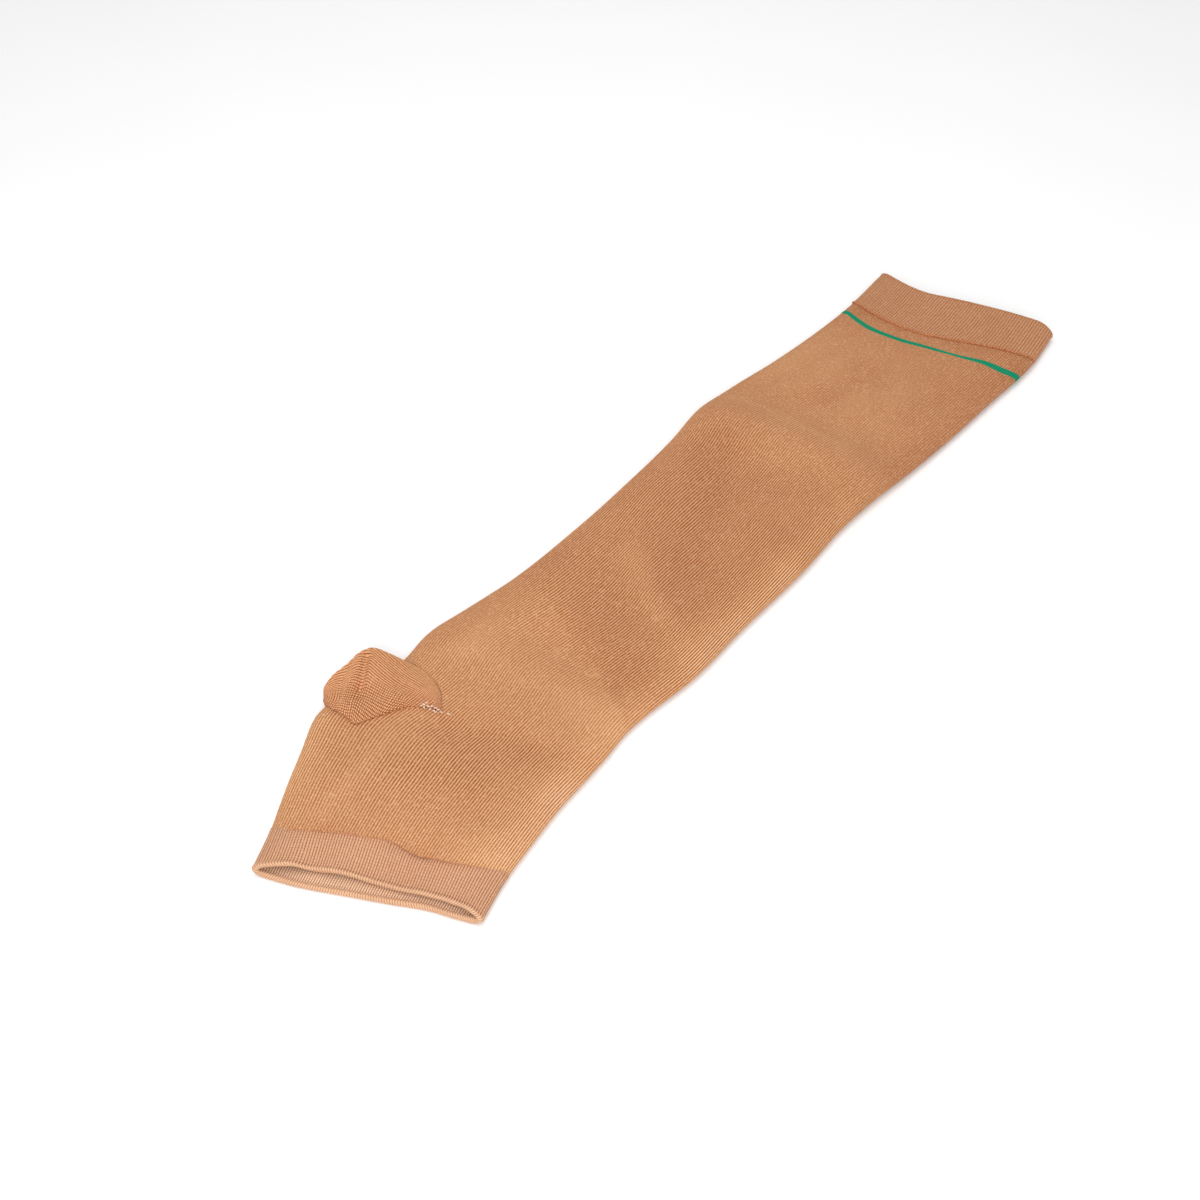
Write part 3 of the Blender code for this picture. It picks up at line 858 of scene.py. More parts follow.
# The same double rib at the knee, less stretched, with narrower and softer grooves: duller, partly as
# painted shade for the light falling off towards the knee
WELT_FINISH = KnitFinish("tan_welt_rib", "#CC9870", "#8A4620", "#E6BC94", course_slant=0.9,
                         course_shade=0.45, groove_width=0.75, groove_shade=0.9)
# Plain knit of the turned heel, loose and unpressed: open courses with warm red-brown gaps, darkened as
# painted shade between them
HEEL_FINISH = KnitFinish("tan_heel_knit", "#E2A776", "#7A2C08", "#F4CCA0", course_slant=0.0,
                         course_shade=1.0, groove_width=0.7, groove_rest=0.1,
                         fleck_share=0.35)
# Dyed cotton yarn, one course or two: an even strong green with hardly a fleck
MARKER_FINISH = KnitFinish("green_marker_yarn", "#04946C", "#036443", "#27A880",
                           course_shade=0.3, fleck_share=0.15, blotch_share=0.1)
# Twisted polyester sewing thread: a darker, redder line with a fine ply
SEAM_FINISH = ThreadFinish("tan_seam_thread", "#CE8A5C", "#A45A30")
# Bare ends of covered elastic: off-white, and brighter than anything around them
ELASTIC_FINISH = ThreadFinish("pale_elastic_thread", "#F0DCCE", "#D8B8A0")


class KnitSheet:
    """Grid of knit laid on the form, closed into a walled tube or pocket."""

    def __init__(self, columns: int, rows: int) -> None:
        """Start from a flat grid.

        Args:
            columns: Faces across it, which become those round the sleeve.
            rows: Faces up it.
        """
        self.columns, self.rows = columns, rows
        self.mesh = bmesh.new()
        self.uv = self.mesh.loops.layers.uv.new(UV_LAYER)
        self.openness = self.mesh.verts.layers.float.new(OPEN_LAYER)
        self.tone = self.mesh.verts.layers.float.new(TONE_LAYER)
        bmesh.ops.create_grid(self.mesh, x_segments=columns, y_segments=rows, size=0.5)
        self.mesh.verts.ensure_lookup_table()
        flat = np.array([vertex.co[:2] for vertex in self.mesh.verts]) + 0.5
        self.column = np.rint(flat[:, 0] * columns).astype(int)
        self.row = np.rint(flat[:, 1] * rows).astype(int)

    def lay(self, points: np.ndarray, ribs: np.ndarray, courses: np.ndarray,
            openness: np.ndarray, tone: np.ndarray) -> None:
        """Put every vertex in its place.

        Args:
            points: The vertices' places, in millimetres.
            ribs: Each one's place across the ribs, in ribs.
            courses: Each one's place up the knit, in courses.
            openness: How far the ribs stand open there, from 0 to 1.
            tone: Yarn depth and painted shade there, 0 to 1, or paleness and painted light, to -1.
        """
        for vertex, point, share, depth in zip(self.mesh.verts, points * MM, openness, tone):
            vertex.co = point
            vertex[self.openness] = share
            vertex[self.tone] = depth
        places = list(zip(ribs.tolist(), courses.tolist()))
        for face in self.mesh.faces:
            for corner in face.loops:
                corner[self.uv].uv = places[corner.vert.index]

    def add(self, other: "KnitSheet") -> None:
        """Take another sheet's mesh into this one.

        Args:
            other: The other sheet, whose own mesh is freed.
        """
        data = bpy.data.meshes.new("joined")
        other.mesh.to_mesh(data)
        self.mesh.from_mesh(data)
        other.mesh.free()
        bpy.data.meshes.remove(data)

    def merge(self) -> None:
        """Weld the vertices that lie on each other."""
        bmesh.ops.remove_doubles(self.mesh, verts=self.mesh.verts, dist=MERGE_DISTANCE)

    def finish(self, name: str, finish: KnitFinish | ThreadFinish, slot: str) -> bpy.types.Object:
        """Turn the mesh into a piece with its material."""
        bmesh.ops.recalc_face_normals(self.mesh, faces=self.mesh.faces)
        return make_piece(name, self.mesh, finish)


def make_piece(name: str, mesh: bmesh.types.BMesh, finish: KnitFinish | ThreadFinish) -> bpy.types.Object:
    """Turn a mesh into a piece that rides on the sleeve's body.

    Args:
        name: The piece's name.
        mesh: Its mesh in metres, which is freed.
        finish: Its finish.

    Returns:
        The piece.
    """
    data = bpy.data.meshes.new(name)
    mesh.to_mesh(data)
    mesh.free()
    data.shade_smooth()
    data.set_sharp_from_angle(angle=SHARP_ANGLE)
    data.materials.append(finish.material())
    piece = bpy.data.objects.new(name, data)
    bpy.context.scene.collection.objects.link(piece)
    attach(piece, BODY)
    LOG.info("%s: %d faces", name, len(data.polygons))
    return piece


@dataclass
class BodyKnit:
    """Foot and leg, one continuous knit with the heel left open for the pocket."""

    form: ClothForm
    ribs: int = 164                 # 1.4 mm apart, as knitted
    steps_per_rib: int = 4
    course_pitch: float = 1.5       # drawn coarser than the real 1.0 mm so that it shows
    rib_depth: float = 0.34
    foot_rows: int = 18
    leg_rows: int = 92
    foot_inner_rows: int = 5
    leg_inner_rows: int = 22
    tuck: float = 0.9               # how far the knit runs into the cuff and welt
    under: float = 0.25             # how far it lies under their outer faces
    drift_passes: int = 3
    cuff_seam_painted_shade: float = 0.35    # painted shade: the knit is drawn darker beside a seam, where it is pulled in
    welt_seam_painted_shade: float = 1.1
    seam_width: float = 1.6
    least_openness: float = 0.1
    closed_depth: float = 0.4       # share of a rib's depth that is left where it lies closed
    crest_power: float = 0.7        # below 1 the crests are broad and the grooves narrow
    tone_rest: float = 0.31         # tone, of yarn and painted shade, where no row or streak changes it
    tone_gain: float = 0.67
    flat_girth: float = 232.0
    flat_length: float = 470.0
    flat_area: float = 104000.0

    def looks(self, along: np.ndarray, around: np.ndarray) -> tuple[np.ndarray, np.ndarray]:
        """How the knit looks at places on the cloth.

        Args:
            along: Places up the sleeve, in millimetres.
            around: Fractions of the girth.

        Returns:
            How far the ribs stand open, up to 1, and the knit's tone, from -1 to 1: the
            yarn's depth and painted shade above 0, and painted light below 0.
        """
        form = self.form
        plan = form.plan(form.points(along, around))
        knots = np.array([form.place[row.section] for row in LOOK_ROWS])
        rows = np.array([(row.openness, row.tone) for row in LOOK_ROWS])
        base = smooth_read(np.clip(along, knots[0], knots[-1]), knots, rows)
        openness = base[:, 0] + streak_sum(RIB_OPENNESS, plan[:, 0], plan[:, 1])
        tone = base[:, 1] + streak_sum(TONE_AND_PAINTED_SHADING_STREAKS, plan[:, 0], plan[:, 1])
        # painted shade beside the cuff and welt seams
        for name, strength in (("cuff_seam", self.cuff_seam_painted_shade),
                               ("welt_seam", self.welt_seam_painted_shade)):
            away = along - form.line(name, around)
            tone = tone + strength * np.exp(-(away / self.seam_width) ** 2)
        tone = self.tone_rest + self.tone_gain * tone
        return np.clip(openness, self.least_openness, 1.0), np.clip(tone, -1.0, 1.0)

    def rib_lift(self, around: np.ndarray, openness: np.ndarray) -> np.ndarray:
        """Grooves between the ribs.

        Args:
            around: Fractions of the girth at which the ribs start.
            openness: How far the ribs stand open there.

        Returns:
            Distances out from the outer face, which are 0 or less.
        """
        crest = np.sin(np.pi * (around * self.ribs % 1.0)) ** self.crest_power
        return -self.rib_depth * (self.closed_depth + (1.0 - self.closed_depth) * openness) * (
            1.0 - crest)

    def sheet(self, starts: Callable[[np.ndarray], np.ndarray],
              ends: Callable[[np.ndarray], np.ndarray], rows: int, inner_rows: int,
              closed_end: bool) -> KnitSheet:
        """One length of the wall, from its start to its end, inside and outside.

        The wall is turned over at the end that is tucked into the cuff or the welt, and left
        open at the heel line, where the foot's and the leg's lengths meet.

        Args:
            starts: Where it starts along the sleeve, at places around.
            ends: Where it ends.
            rows: Rows of faces on its outer side.
            inner_rows: Rows of faces on its inner side.
            closed_end: Whether it is turned over at its end, and not at its start.

        Returns:
            The sheet.
        """
        sheet = KnitSheet(self.ribs * self.steps_per_rib, rows + inner_rows + 1)
        out = np.arange(rows + 1) / rows
        back = np.arange(inner_rows + 1) / inner_rows
        share = np.concatenate((back[::-1], out)) if not closed_end else np.concatenate(
            (out, back[::-1]))
        inside = np.concatenate((np.ones_like(back), np.zeros_like(out)))
        if closed_end:
            inside = inside[::-1]
        column = sheet.column / sheet.columns
        share, inside = share[sheet.row], inside[sheet.row]
        around = column
        for _ in range(self.drift_passes):
            along = starts(around) + (ends(around) - starts(around)) * share
            around = column + self.form.drift(along, column)
        along = starts(around) + (ends(around) - starts(around)) * share
        openness, tone = self.looks(along, around)
        lift = self.rib_lift(column, openness) * (1.0 - inside) - self.under
        points = self.form.points(along, around, inside * (KNIT_WALL - self.under), lift)
        points[:, 2] = np.maximum(points[:, 2], 0.0)
        sheet.lay(points, column * self.ribs, along / self.course_pitch, openness, tone)
        return sheet

    def build(self) -> bpy.types.Object:
        """Build the body knit.

        Returns:
            The piece.
        """
        form = self.form
        foot = self.sheet(lambda around: form.line("cuff_seam", around) - self.tuck,
                          form.foot_edge, self.foot_rows, self.foot_inner_rows, False)
        leg = self.sheet(form.leg_edge,
                         lambda around: form.line("welt_seam", around) + self.tuck,
                         self.leg_rows, self.leg_inner_rows, True)
        foot.add(leg)
        foot.merge()
        rim = [edge for edge in foot.mesh.edges if edge.is_boundary]
        bmesh.ops.bridge_loops(foot.mesh, edges=rim)
        piece = foot.finish("body_knit", BODY_FINISH, "body_knit")
        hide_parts("foot_tube", "leg_tube", "upper_band")
        return piece


# Lift of the cuff's rim: around, and how far. The upper lip is pressed down in the middle.
CUFF_LIP: tuple[tuple[float, float], ...] = (
    (0.0, 0.0), (0.02, -0.5), (0.04, -1.5), (0.06, -2.3), (0.085, -3.2), (0.11, -5.6),
    (0.135, -6.3), (0.16, -5.7), (0.185, -5.7), (0.21, -6.2), (0.235, -6.6), (0.26, -6.8),
    (0.285, -6.8), (0.31, -6.8), (0.335, -6.3), (0.36, -5.7), (0.385, -5.6), (0.41, -4.8),
    (0.435, -4.1), (0.46, -2.5), (0.48, -1.4), (0.5, -0.2), (0.52, 0.0), (0.54, 0.0),
    (1.0, 0.0))


@dataclass
class RibbedEdge:
    """Turned-in ribbed edge, with a round rim at its free end."""

    form: ClothForm
    name: str
    node: str
    slot: str
    finish: KnitFinish
    rim_line: str
    seam_line: str
    ribs: int
    steps_per_rib: int = 4
    stitch_pitch: float = 1.25
    rows: int = 60
    inner_rows: int = 22
    rim_steps: int = 8
    corner_steps: int = 3
    corner: float = 0.6
    rib_depth: float = 0.26
    purl_drop: float = 0.16         # every other rib is a purl one and lies lower
    stitch_depth: float = 0.12
    groove_power: float = 0.6       # below 1 the ribs are broad and the grooves narrow
    roll: float = 0.0               # extra thickness of the rolled rim
    lower_roll: float = 0.0         # more of it, on the inner face of the lower layer
    roll_width: float = 2.4
    rib_fade: tuple[float, float] = (-0.4, 0.8)     # past the roll, where the ribs fade in
    seam_fade: float = 1.0          # from the seam, where they fade in too
    crossing: float = 0.2           # how softly the upper layer's roll turns into the lower's
    bead_row: float = -0.1          # past the roll, where the loops and pits beside it lie
    bead_width: float = 0.5
    bead_rise: float = 0.25
    pit_drop: float = 0.55
    openness: float = 0.9
    rim_openness: float = 0.1
    bead_openness: float = 0.9
    rim_tone: float = 0.0
    rib_tone: float = 0.2
    pit_painted_shade: float = 0.7           # painted shade in the pits beside the rim
    bead_painted_highlight: float = 0.0          # painted highlight on the loops between them
    seam_painted_shade: float = 0.3          # painted shade beside the seam
    seam_width: float = 1.4
    inner_painted_light: float = 0.0        # painted light: how much paler the inner face is drawn, where the upper layer shades it
    lip_reach: float = 13.0         # how far in from the rim the lip's wave dies away
    lip_rows: tuple[tuple[float, float], ...] = ((0.0, 0.0), (1.0, 0.0))    # around, lift

    def cut(self) -> tuple[np.ndarray, np.ndarray, np.ndarray]:
        """Lengthways cut of the wall, as a closed loop.

        Returns:
            For each point its share of the way from rim to seam, the distance to add to
            that along the sleeve, and its share of the depth.
        """
        radius = TURNED_WALL / 2.0
        outer = np.linspace(0.0, 1.0, self.rows + 1)
        turn = np.linspace(0.0, np.pi / 2.0, self.corner_steps + 1)[1:]
        seam_share = np.ones(len(turn))
        seam_out = self.corner * (np.sin(turn) - 1.0)
        seam_deep = self.corner / TURNED_WALL * (1.0 - np.cos(turn))
        inner = np.linspace(1.0, 0.0, self.inner_rows + 1)
        arc = np.linspace(0.0, np.pi, self.rim_steps + 1)[1:-1]
        share = np.concatenate((outer, seam_share, inner, np.zeros(len(arc))))
        extra = np.concatenate((
            radius * (1.0 - outer) - self.corner * outer, seam_out,
            radius * (1.0 - inner), radius * (1.0 - np.sin(arc))))
        deep = np.concatenate((np.zeros(len(outer)), seam_deep, np.ones(len(inner)),
                               (1.0 + np.cos(arc)) / 2.0))
        return (np.append(share, share[0]), np.append(extra, extra[0]), np.append(deep, deep[0]))

    def build(self) -> bpy.types.Object:
        """Build the edge.

        Returns:
            The piece.
        """
        share, extra, deep = self.cut()
        sheet = KnitSheet(self.ribs * self.steps_per_rib, len(share) - 1)
        around = sheet.column / sheet.columns
        share, extra, deep = share[sheet.row], extra[sheet.row], deep[sheet.row]
        rim = self.form.line(self.rim_line, around)
        seam = self.form.line(self.seam_line, around)
        inward = np.sign(seam - rim)
        along = rim + (seam - rim) * share + inward * extra
        from_rim = np.abs(along - rim)
        from_seam = np.abs(seam - along)

        ribbed = blend_step(self.roll_width + self.rib_fade[0],
                            self.roll_width + self.rib_fade[1], from_rim)
        ribbed *= blend_step(0.0, self.seam_fade, from_seam)
        phase = around * self.ribs
        courses = from_rim / self.stitch_pitch
        groove = 1.0 - np.sin(np.pi * (phase % 1.0)) ** self.groove_power
        ladder = 1.0 - triangle_wave(courses)
        purl = np.floor(phase) % 2.0
        lift = -ribbed * (self.rib_depth * groove + self.purl_drop * purl * (1.0 - groove)
                          + self.stitch_depth * ladder * (1.0 - groove))
        dots = np.exp(-((from_rim - self.roll_width - self.bead_row) / self.bead_width) ** 2)
        between = triangle_wave(phase)
        lift += dots * (self.bead_rise * between - self.pit_drop * (1.0 - between))
        bead = np.clip(1.0 - (from_rim / self.roll_width - 0.5) ** 2 * 4.0, 0.0, 1.0)
        lower = blend_step(-self.crossing, self.crossing, -np.sin(2.0 * np.pi * around))
        knots = np.array(self.lip_rows)
        wave = smooth_read(around, knots[:, 0], knots[:, 1])
        near_rim = np.exp(-(from_rim / self.lip_reach) ** 2)
        outward = 1.0 - 2.0 * deep
        lift = np.where(deep < 0.5, lift, -lift)
        thicker = self.roll * (1.0 - lower) + (self.roll + self.lower_roll) * deep * lower
        lift = lift + thicker * np.sqrt(bead) * outward
        points = self.form.points(along, around, deep * TURNED_WALL, lift + wave * near_rim)
        points[:, 2] = np.maximum(points[:, 2], 0.0)
        openness = self.rim_openness + (self.openness - self.rim_openness) * ribbed
        openness = np.clip(openness + dots * self.bead_openness, 0.0, 1.0)
        tone = self.rim_tone + (self.rib_tone - self.rim_tone) * ribbed
        # painted shade in the pits beside the rim, and painted highlight on the loops between them
        tone = tone + dots * (self.pit_painted_shade * (1.0 - between) - self.bead_painted_highlight * between)
        # painted shade beside the seam
        tone = tone + self.seam_painted_shade * np.exp(-(from_seam / self.seam_width) ** 2)
        # painted light on the inner face, where the upper layer shades it
        tone = np.clip(tone - self.inner_painted_light * deep * ribbed, -1.0, 1.0)
        sheet.lay(points, phase, courses, openness, tone)
        sheet.merge()
        piece = sheet.finish(self.name, self.finish, self.slot)
        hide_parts(self.node)
        return piece


@dataclass
class MarkerCourse:
    """Narrow ring knitted in the marker colour, lying on the ribs."""

    form: ClothForm
    body: BodyKnit
    # around, and how wide the ring is there
    width_rows: tuple[tuple[float, float], ...] = (
        (0.0, 3.4), (0.12, 3.4), (0.22, 3.0), (0.3, 2.2), (0.335, 1.8), (0.38, 2.6),
        (0.45, 4.2), (0.5, 4.0), (0.6, 2.8), (0.8, 2.6), (1.0, 3.4))
    raised: float = 0.16            # above the ribs
    sunk: float = 0.5               # into them, on its inner side
    edge_height: float = 0.86       # how high its two edges stand, as a share of its middle
    face_rows: int = 4
    tone_share: float = 0.3         # how much of the body knit's tone, with its painted shade, it shows

    def build(self) -> bpy.types.Object:
        """Build the ring.

        Returns:
            The piece.
        """
        rows, edge = self.face_rows, self.edge_height
        share = np.concatenate((np.linspace(0.0, 1.0, rows + 1), (1.0, 0.0, 0.0)))
        height = np.concatenate(((edge,), np.ones(rows - 1), (edge, 0.0, 0.0, edge)))
        sheet = KnitSheet(self.body.ribs * self.body.steps_per_rib, len(share) - 1)
        column = sheet.column / sheet.columns
        around = column + self.form.drift(self.form.line("marker", column), column)
        share, height = share[sheet.row], height[sheet.row]
        knots = np.array(self.width_rows)
        width = smooth_read(around % 1.0, knots[:, 0], knots[:, 1])
        along = self.form.line("marker", around) + (share - 0.5) * width
        openness, tone = self.body.looks(along, around)
        lift = self.body.rib_lift(column, openness) - self.body.under
        lift = lift - self.sunk + (self.sunk + self.raised) * height
        points = self.form.points(along, around, 0.0, lift)
        points[:, 2] = np.maximum(points[:, 2], 0.0)
        sheet.lay(points, column * self.body.ribs, along / self.body.course_pitch, openness,
                  tone * self.tone_share)
        sheet.merge()
        piece = sheet.finish("marker_yarn_ring", MARKER_FINISH, "marker_yarn")
        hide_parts("marker_course")
        return piece


@dataclass(frozen=True)
class PuffRow:
    """Points across the pocket, at a share of the way from the leg's edge to the foot's.

    Each point is the plan place and the height that the pocket is puffed out to.
    """

    up: float
    points: tuple[tuple[float, float, float], ...]


# Turns round the pocket at which each row has its points: 0 is the heel side, and 1 and -1
# are the gore's ends on the upper and the lower layer
PUFF_TURNS = (0.8, 0.6, 0.4, 0.2, 0.0, -0.09, -0.18, -0.3)
PUFF_ROWS: tuple[PuffRow, ...] = (
    PuffRow(0.1, (
        (-20.9, -21.4, 11.9), (-31.0, -16.4, 11.6), (-41.1, -14.6, 11.0), (-56.6, -16.5, 12.0),
        (-64.5, -24.0, 10.5), (-66.1, -31.9, 8.5), (-66.4, -40.7, 6.0), (-57.0, -32.0, 0.9))),
    PuffRow(0.2, (
        (-20.7, -22.3, 12.3), (-31.2, -18.6, 12.9), (-41.5, -19.0, 13.3), (-61.4, -21.2, 16.2),
        (-65.6, -33.7, 15.0), (-66.5, -43.4, 12.5), (-64.8, -51.2, 9.0), (-59.1, -44.0, 0.9))),
    PuffRow(0.33, (
        (-20.2, -23.8, 12.8), (-28.8, -22.7, 14.4), (-38.2, -24.7, 15.6), (-57.7, -26.4, 17.0),
        (-62.2, -37.7, 15.4), (-63.5, -46.1, 12.3), (-64.4, -52.0, 8.2), (-60.1, -47.5, 0.9))),
    PuffRow(0.47, (
        (-19.8, -25.6, 13.2), (-26.7, -27.0, 15.6), (-35.7, -30.1, 16.8), (-53.9, -33.1, 16.8),
        (-58.6, -42.8, 15.0), (-61.2, -48.8, 11.8), (-64.0, -52.5, 7.4), (-60.1, -49.5, 0.8))),
    PuffRow(0.63, (
        (-19.2, -27.7, 13.4), (-25.8, -31.1, 16.0), (-34.3, -35.8, 17.0), (-48.6, -42.7, 15.0),
        (-55.0, -48.6, 14.2), (-59.3, -51.4, 11.0), (-63.7, -52.9, 6.6), (-59.5, -51.5, 0.8))),
    PuffRow(0.79, (
        (-19.7, -30.0, 13.2), (-26.0, -34.6, 15.4), (-33.2, -41.3, 16.4), (-43.3, -51.9, 15.4),
        (-52.8, -53.2, 13.0), (-58.6, -53.5, 9.6), (-63.5, -53.1, 5.6), (-58.6, -53.0, 0.7))),
    PuffRow(0.9, (
        (-20.0, -31.8, 13.3), (-26.9, -37.9, 13.7), (-32.3, -48.0, 13.9), (-39.1, -59.2, 13.5),
        (-52.7, -56.6, 10.5), (-58.7, -54.9, 7.9), (-63.6, -53.1, 4.4), (-57.0, -55.0, 0.6))),
    PuffRow(0.95, (
        (-20.7, -31.6, 12.0), (-27.7, -37.7, 11.8), (-33.5, -47.7, 12.0), (-40.8, -58.5, 11.3),
        (-54.2, -56.2, 8.8), (-59.7, -54.6, 6.3), (-63.9, -52.8, 3.4), (-56.5, -55.6, 0.6))),
)


@dataclass
class HeelPocket:
    """Heel pocket, puffed up to a tip and folded forward over the foot."""

    form: ClothForm
    columns: int = 340
    rows: int = 144
    inner_rows: int = 30
    stitch_width: float = 1.35
    course_pitch: float = 1.65      # drawn coarser than the real 1.0 mm so that it shows
    own_courses: float = 0.5        # how far a column's courses follow its own length
    row_depth: float = 0.55
    row_power: float = 0.8          # below 1 the courses are broad and the gaps narrow
    mesh_row_share: float = 0.4     # how much of the courses' depth is left in the mesh
    loop_depth: float = 0.34
    plain_loop_share: float = 0.15  # how much of the loops' depth there is outside it
    full_gap: float = 0.2           # how far apart the grid's rows lie where it is full depth
    normal_smoothing: int = 3
    mesh_from: float = 0.45         # towards the foot the wales show more than the courses
    mesh_to: float = 0.7
    leg_fade: float = 0.04          # the relief dies away at the two edges and the gore ends
    foot_fade: tuple[float, float] = (0.88, 0.94)
    gore_fade: float = 7.0
    wall: float = 1.2
    least_wall: float = 0.1         # share of the wall that is left where it is thinned
    edge_under: float = 0.5         # how far its edges lie under the body knit's face
    full_push: float = 2.0          # rise with which the creases are full depth
    outer_least: float = 0.4        # least heights of its two faces, and of its edges
    inner_least: float = 0.2
    edge_least: float = 0.05
    tone: float = -0.08
    upper_tone: float = 0.5         # the part towards the leg looks deeper by this much
    flat_turn: float = -0.45        # from here to the lower gore end the pocket lies flat
    fold_turn: float = -0.18        # its side edge, where it folds under
    fold_fade: tuple[float, float] = (0.02, 0.1)        # turns from it, where relief fades in
    # share of the columns, and the turn reached there: closer together where it is puffed
    column_rows: tuple[tuple[float, float], ...] = (
        (0.0, -1.0), (0.05, -0.45), (0.12, -0.2), (0.7, 0.5), (1.0, 1.0))
    creases: tuple[Streak, ...] = (
        Streak(-60.5, -27.0, -50.5, -42.5, 1.8, -1.8),
        Streak(-49.5, -42.0, -47.0, -46.0, 2.8, -0.9),
        Streak(-57.0, -28.0, -47.0, -42.0, 1.8, 0.6),
        Streak(-45.0, -49.0, -41.0, -57.0, 2.2, 0.6),
        Streak(-64.0, -32.0, -60.0, -46.0, 1.6, -0.8),
        Streak(-59.5, -37.0, -56.5, -48.0, 1.6, -0.6),
        Streak(-56.0, -24.0, -30.0, -25.5, 1.8, -0.6),
        Streak(-48.0, -31.0, -28.0, -31.5, 2.0, -0.5),
        Streak(-44.0, -38.0, -28.0, -36.0, 2.4, 0.4),
    )

    def turns(self) -> np.ndarray:
        """Place of each column round the pocket, from one gore end to the other."""
        return np.interp(np.linspace(0.0, 1.0, self.columns + 1), *zip(*self.column_rows))

    def faces(self) -> tuple[np.ndarray, np.ndarray, np.ndarray]:
        """Outer face of the pocket.

        Returns:
            Its points by columns round and rows up, each column's distance round, and each
            row's share of the way up.
        """
        form = self.form
        turns = self.turns()
        around = turns * GORE_AROUND
        ups = np.linspace(0.0, 1.0, self.rows + 1)
        leg = form.points(form.leg_edge(around), around, 0.0, -self.edge_under)
        foot = form.points(form.foot_edge(around), around, 0.0, -self.edge_under)

        knots = np.array((1.0,) + PUFF_TURNS + (self.flat_turn, -1.0))[::-1]
        knot_leg = form.points(form.leg_edge(knots * GORE_AROUND), knots * GORE_AROUND)
        knot_foot = form.points(form.foot_edge(knots * GORE_AROUND), knots * GORE_AROUND)
        row_places = np.array([0.0] + [row.up for row in PUFF_ROWS] + [1.0])
        pushed = knot_leg + (knot_foot - knot_leg) * row_places[:, None, None]
        for place, row in enumerate(PUFF_ROWS):
            target = np.array(row.points)[::-1] + form.shift
            pushed[place + 1, 2:-1] = target
        by_up = smooth_read(ups, row_places, pushed.reshape(len(row_places), -1), steady=True)
        by_up = by_up.reshape(len(ups), len(knots), 3)
        by_up = by_up - knot_leg - (knot_foot - knot_leg) * ups[:, None, None]
        by_up = by_up.transpose(1, 0, 2).reshape(len(knots), -1)
        push = smooth_read(turns, knots, by_up, steady=True).reshape(len(turns), len(ups), 3)
        share = ups[None, :, None]
        points = leg[:, None] * (1.0 - share) + foot[:, None] * share + push
        plan = form.plan(points)
        puffed = np.clip(push[..., 2] / self.full_push, 0.0, 1.0)
        points[..., 2] += streak_sum(self.creases, plan[..., 0], plan[..., 1]) * puffed
        points[..., 2] = np.maximum(points[..., 2], self.outer_least)
        middle = points[:, self.rows // 2]
        lengths = np.linalg.norm(np.diff(middle, axis=0), axis=1)
        return points, np.concatenate(([0.0], np.cumsum(lengths))), ups

    def build(self) -> bpy.types.Object:
        """Build the pocket.

        Returns:
            The piece.
        """
        outer, round_at, ups = self.faces()
        up_steps = np.gradient(outer, axis=1)
        normals = np.cross(up_steps, np.gradient(outer, axis=0))
        for axis in (0, 1) * self.normal_smoothing:
            ahead, behind = np.roll(normals, 1, axis=axis), np.roll(normals, -1, axis=axis)
            inner_part = (slice(1, -1), slice(None)) if axis == 0 else (slice(None), slice(1, -1))
            normals[inner_part] = ((ahead + behind) / 4.0 + normals / 2.0)[inner_part]
        normals /= np.maximum(np.linalg.norm(normals, axis=2, keepdims=True), LEAST_LENGTH)
        stitch = round_at / self.stitch_width
        # the middle has more courses than the sides, where they draw closer together
        rises = np.linalg.norm(np.diff(outer, axis=1, prepend=outer[:, :1]), axis=2)
        climb = np.cumsum(rises, axis=1)
        tallest = climb[np.argmax(climb[:, -1])]
        course = (tallest + (climb - tallest) * self.own_courses) / self.course_pitch
        edge = blend_step(0.0, self.leg_fade, ups) * (1.0 - blend_step(*self.foot_fade, ups))
        ends = blend_step(0.0, self.gore_fade, round_at)
        ends = ends * blend_step(0.0, self.gore_fade, round_at[-1] - round_at)
        row_wave = 1.0 - np.abs(np.sin(np.pi * course)) ** self.row_power
        loop_wave = 1.0 - triangle_wave(stitch)
        meshed = blend_step(self.mesh_from, self.mesh_to, ups)
        depth = self.row_depth * (1.0 - (1.0 - self.mesh_row_share) * meshed) * row_wave
        looped = self.plain_loop_share + (1.0 - self.plain_loop_share) * meshed
        depth = depth + self.loop_depth * looped * loop_wave[:, None]
        # where the rows are gathered together, and at the sharp side fold, it is all thinner
        spread = np.clip(np.linalg.norm(up_steps, axis=2) / self.full_gap, 0.0, 1.0)
        from_fold = np.abs(self.turns() - self.fold_turn)
        spread = spread * blend_step(*self.fold_fade, from_fold)[:, None]
        depth = depth * spread
        outer = outer - normals * (depth * edge[None, :] * ends[:, None])[..., None]
        least, more = self.least_wall, 1.0 - self.least_wall
        thin = self.wall * (least + more * ends[:, None] * (least + more * spread))
        inner = outer - normals * thin[..., None]
        inner[..., 2] = np.maximum(inner[..., 2], self.inner_least)

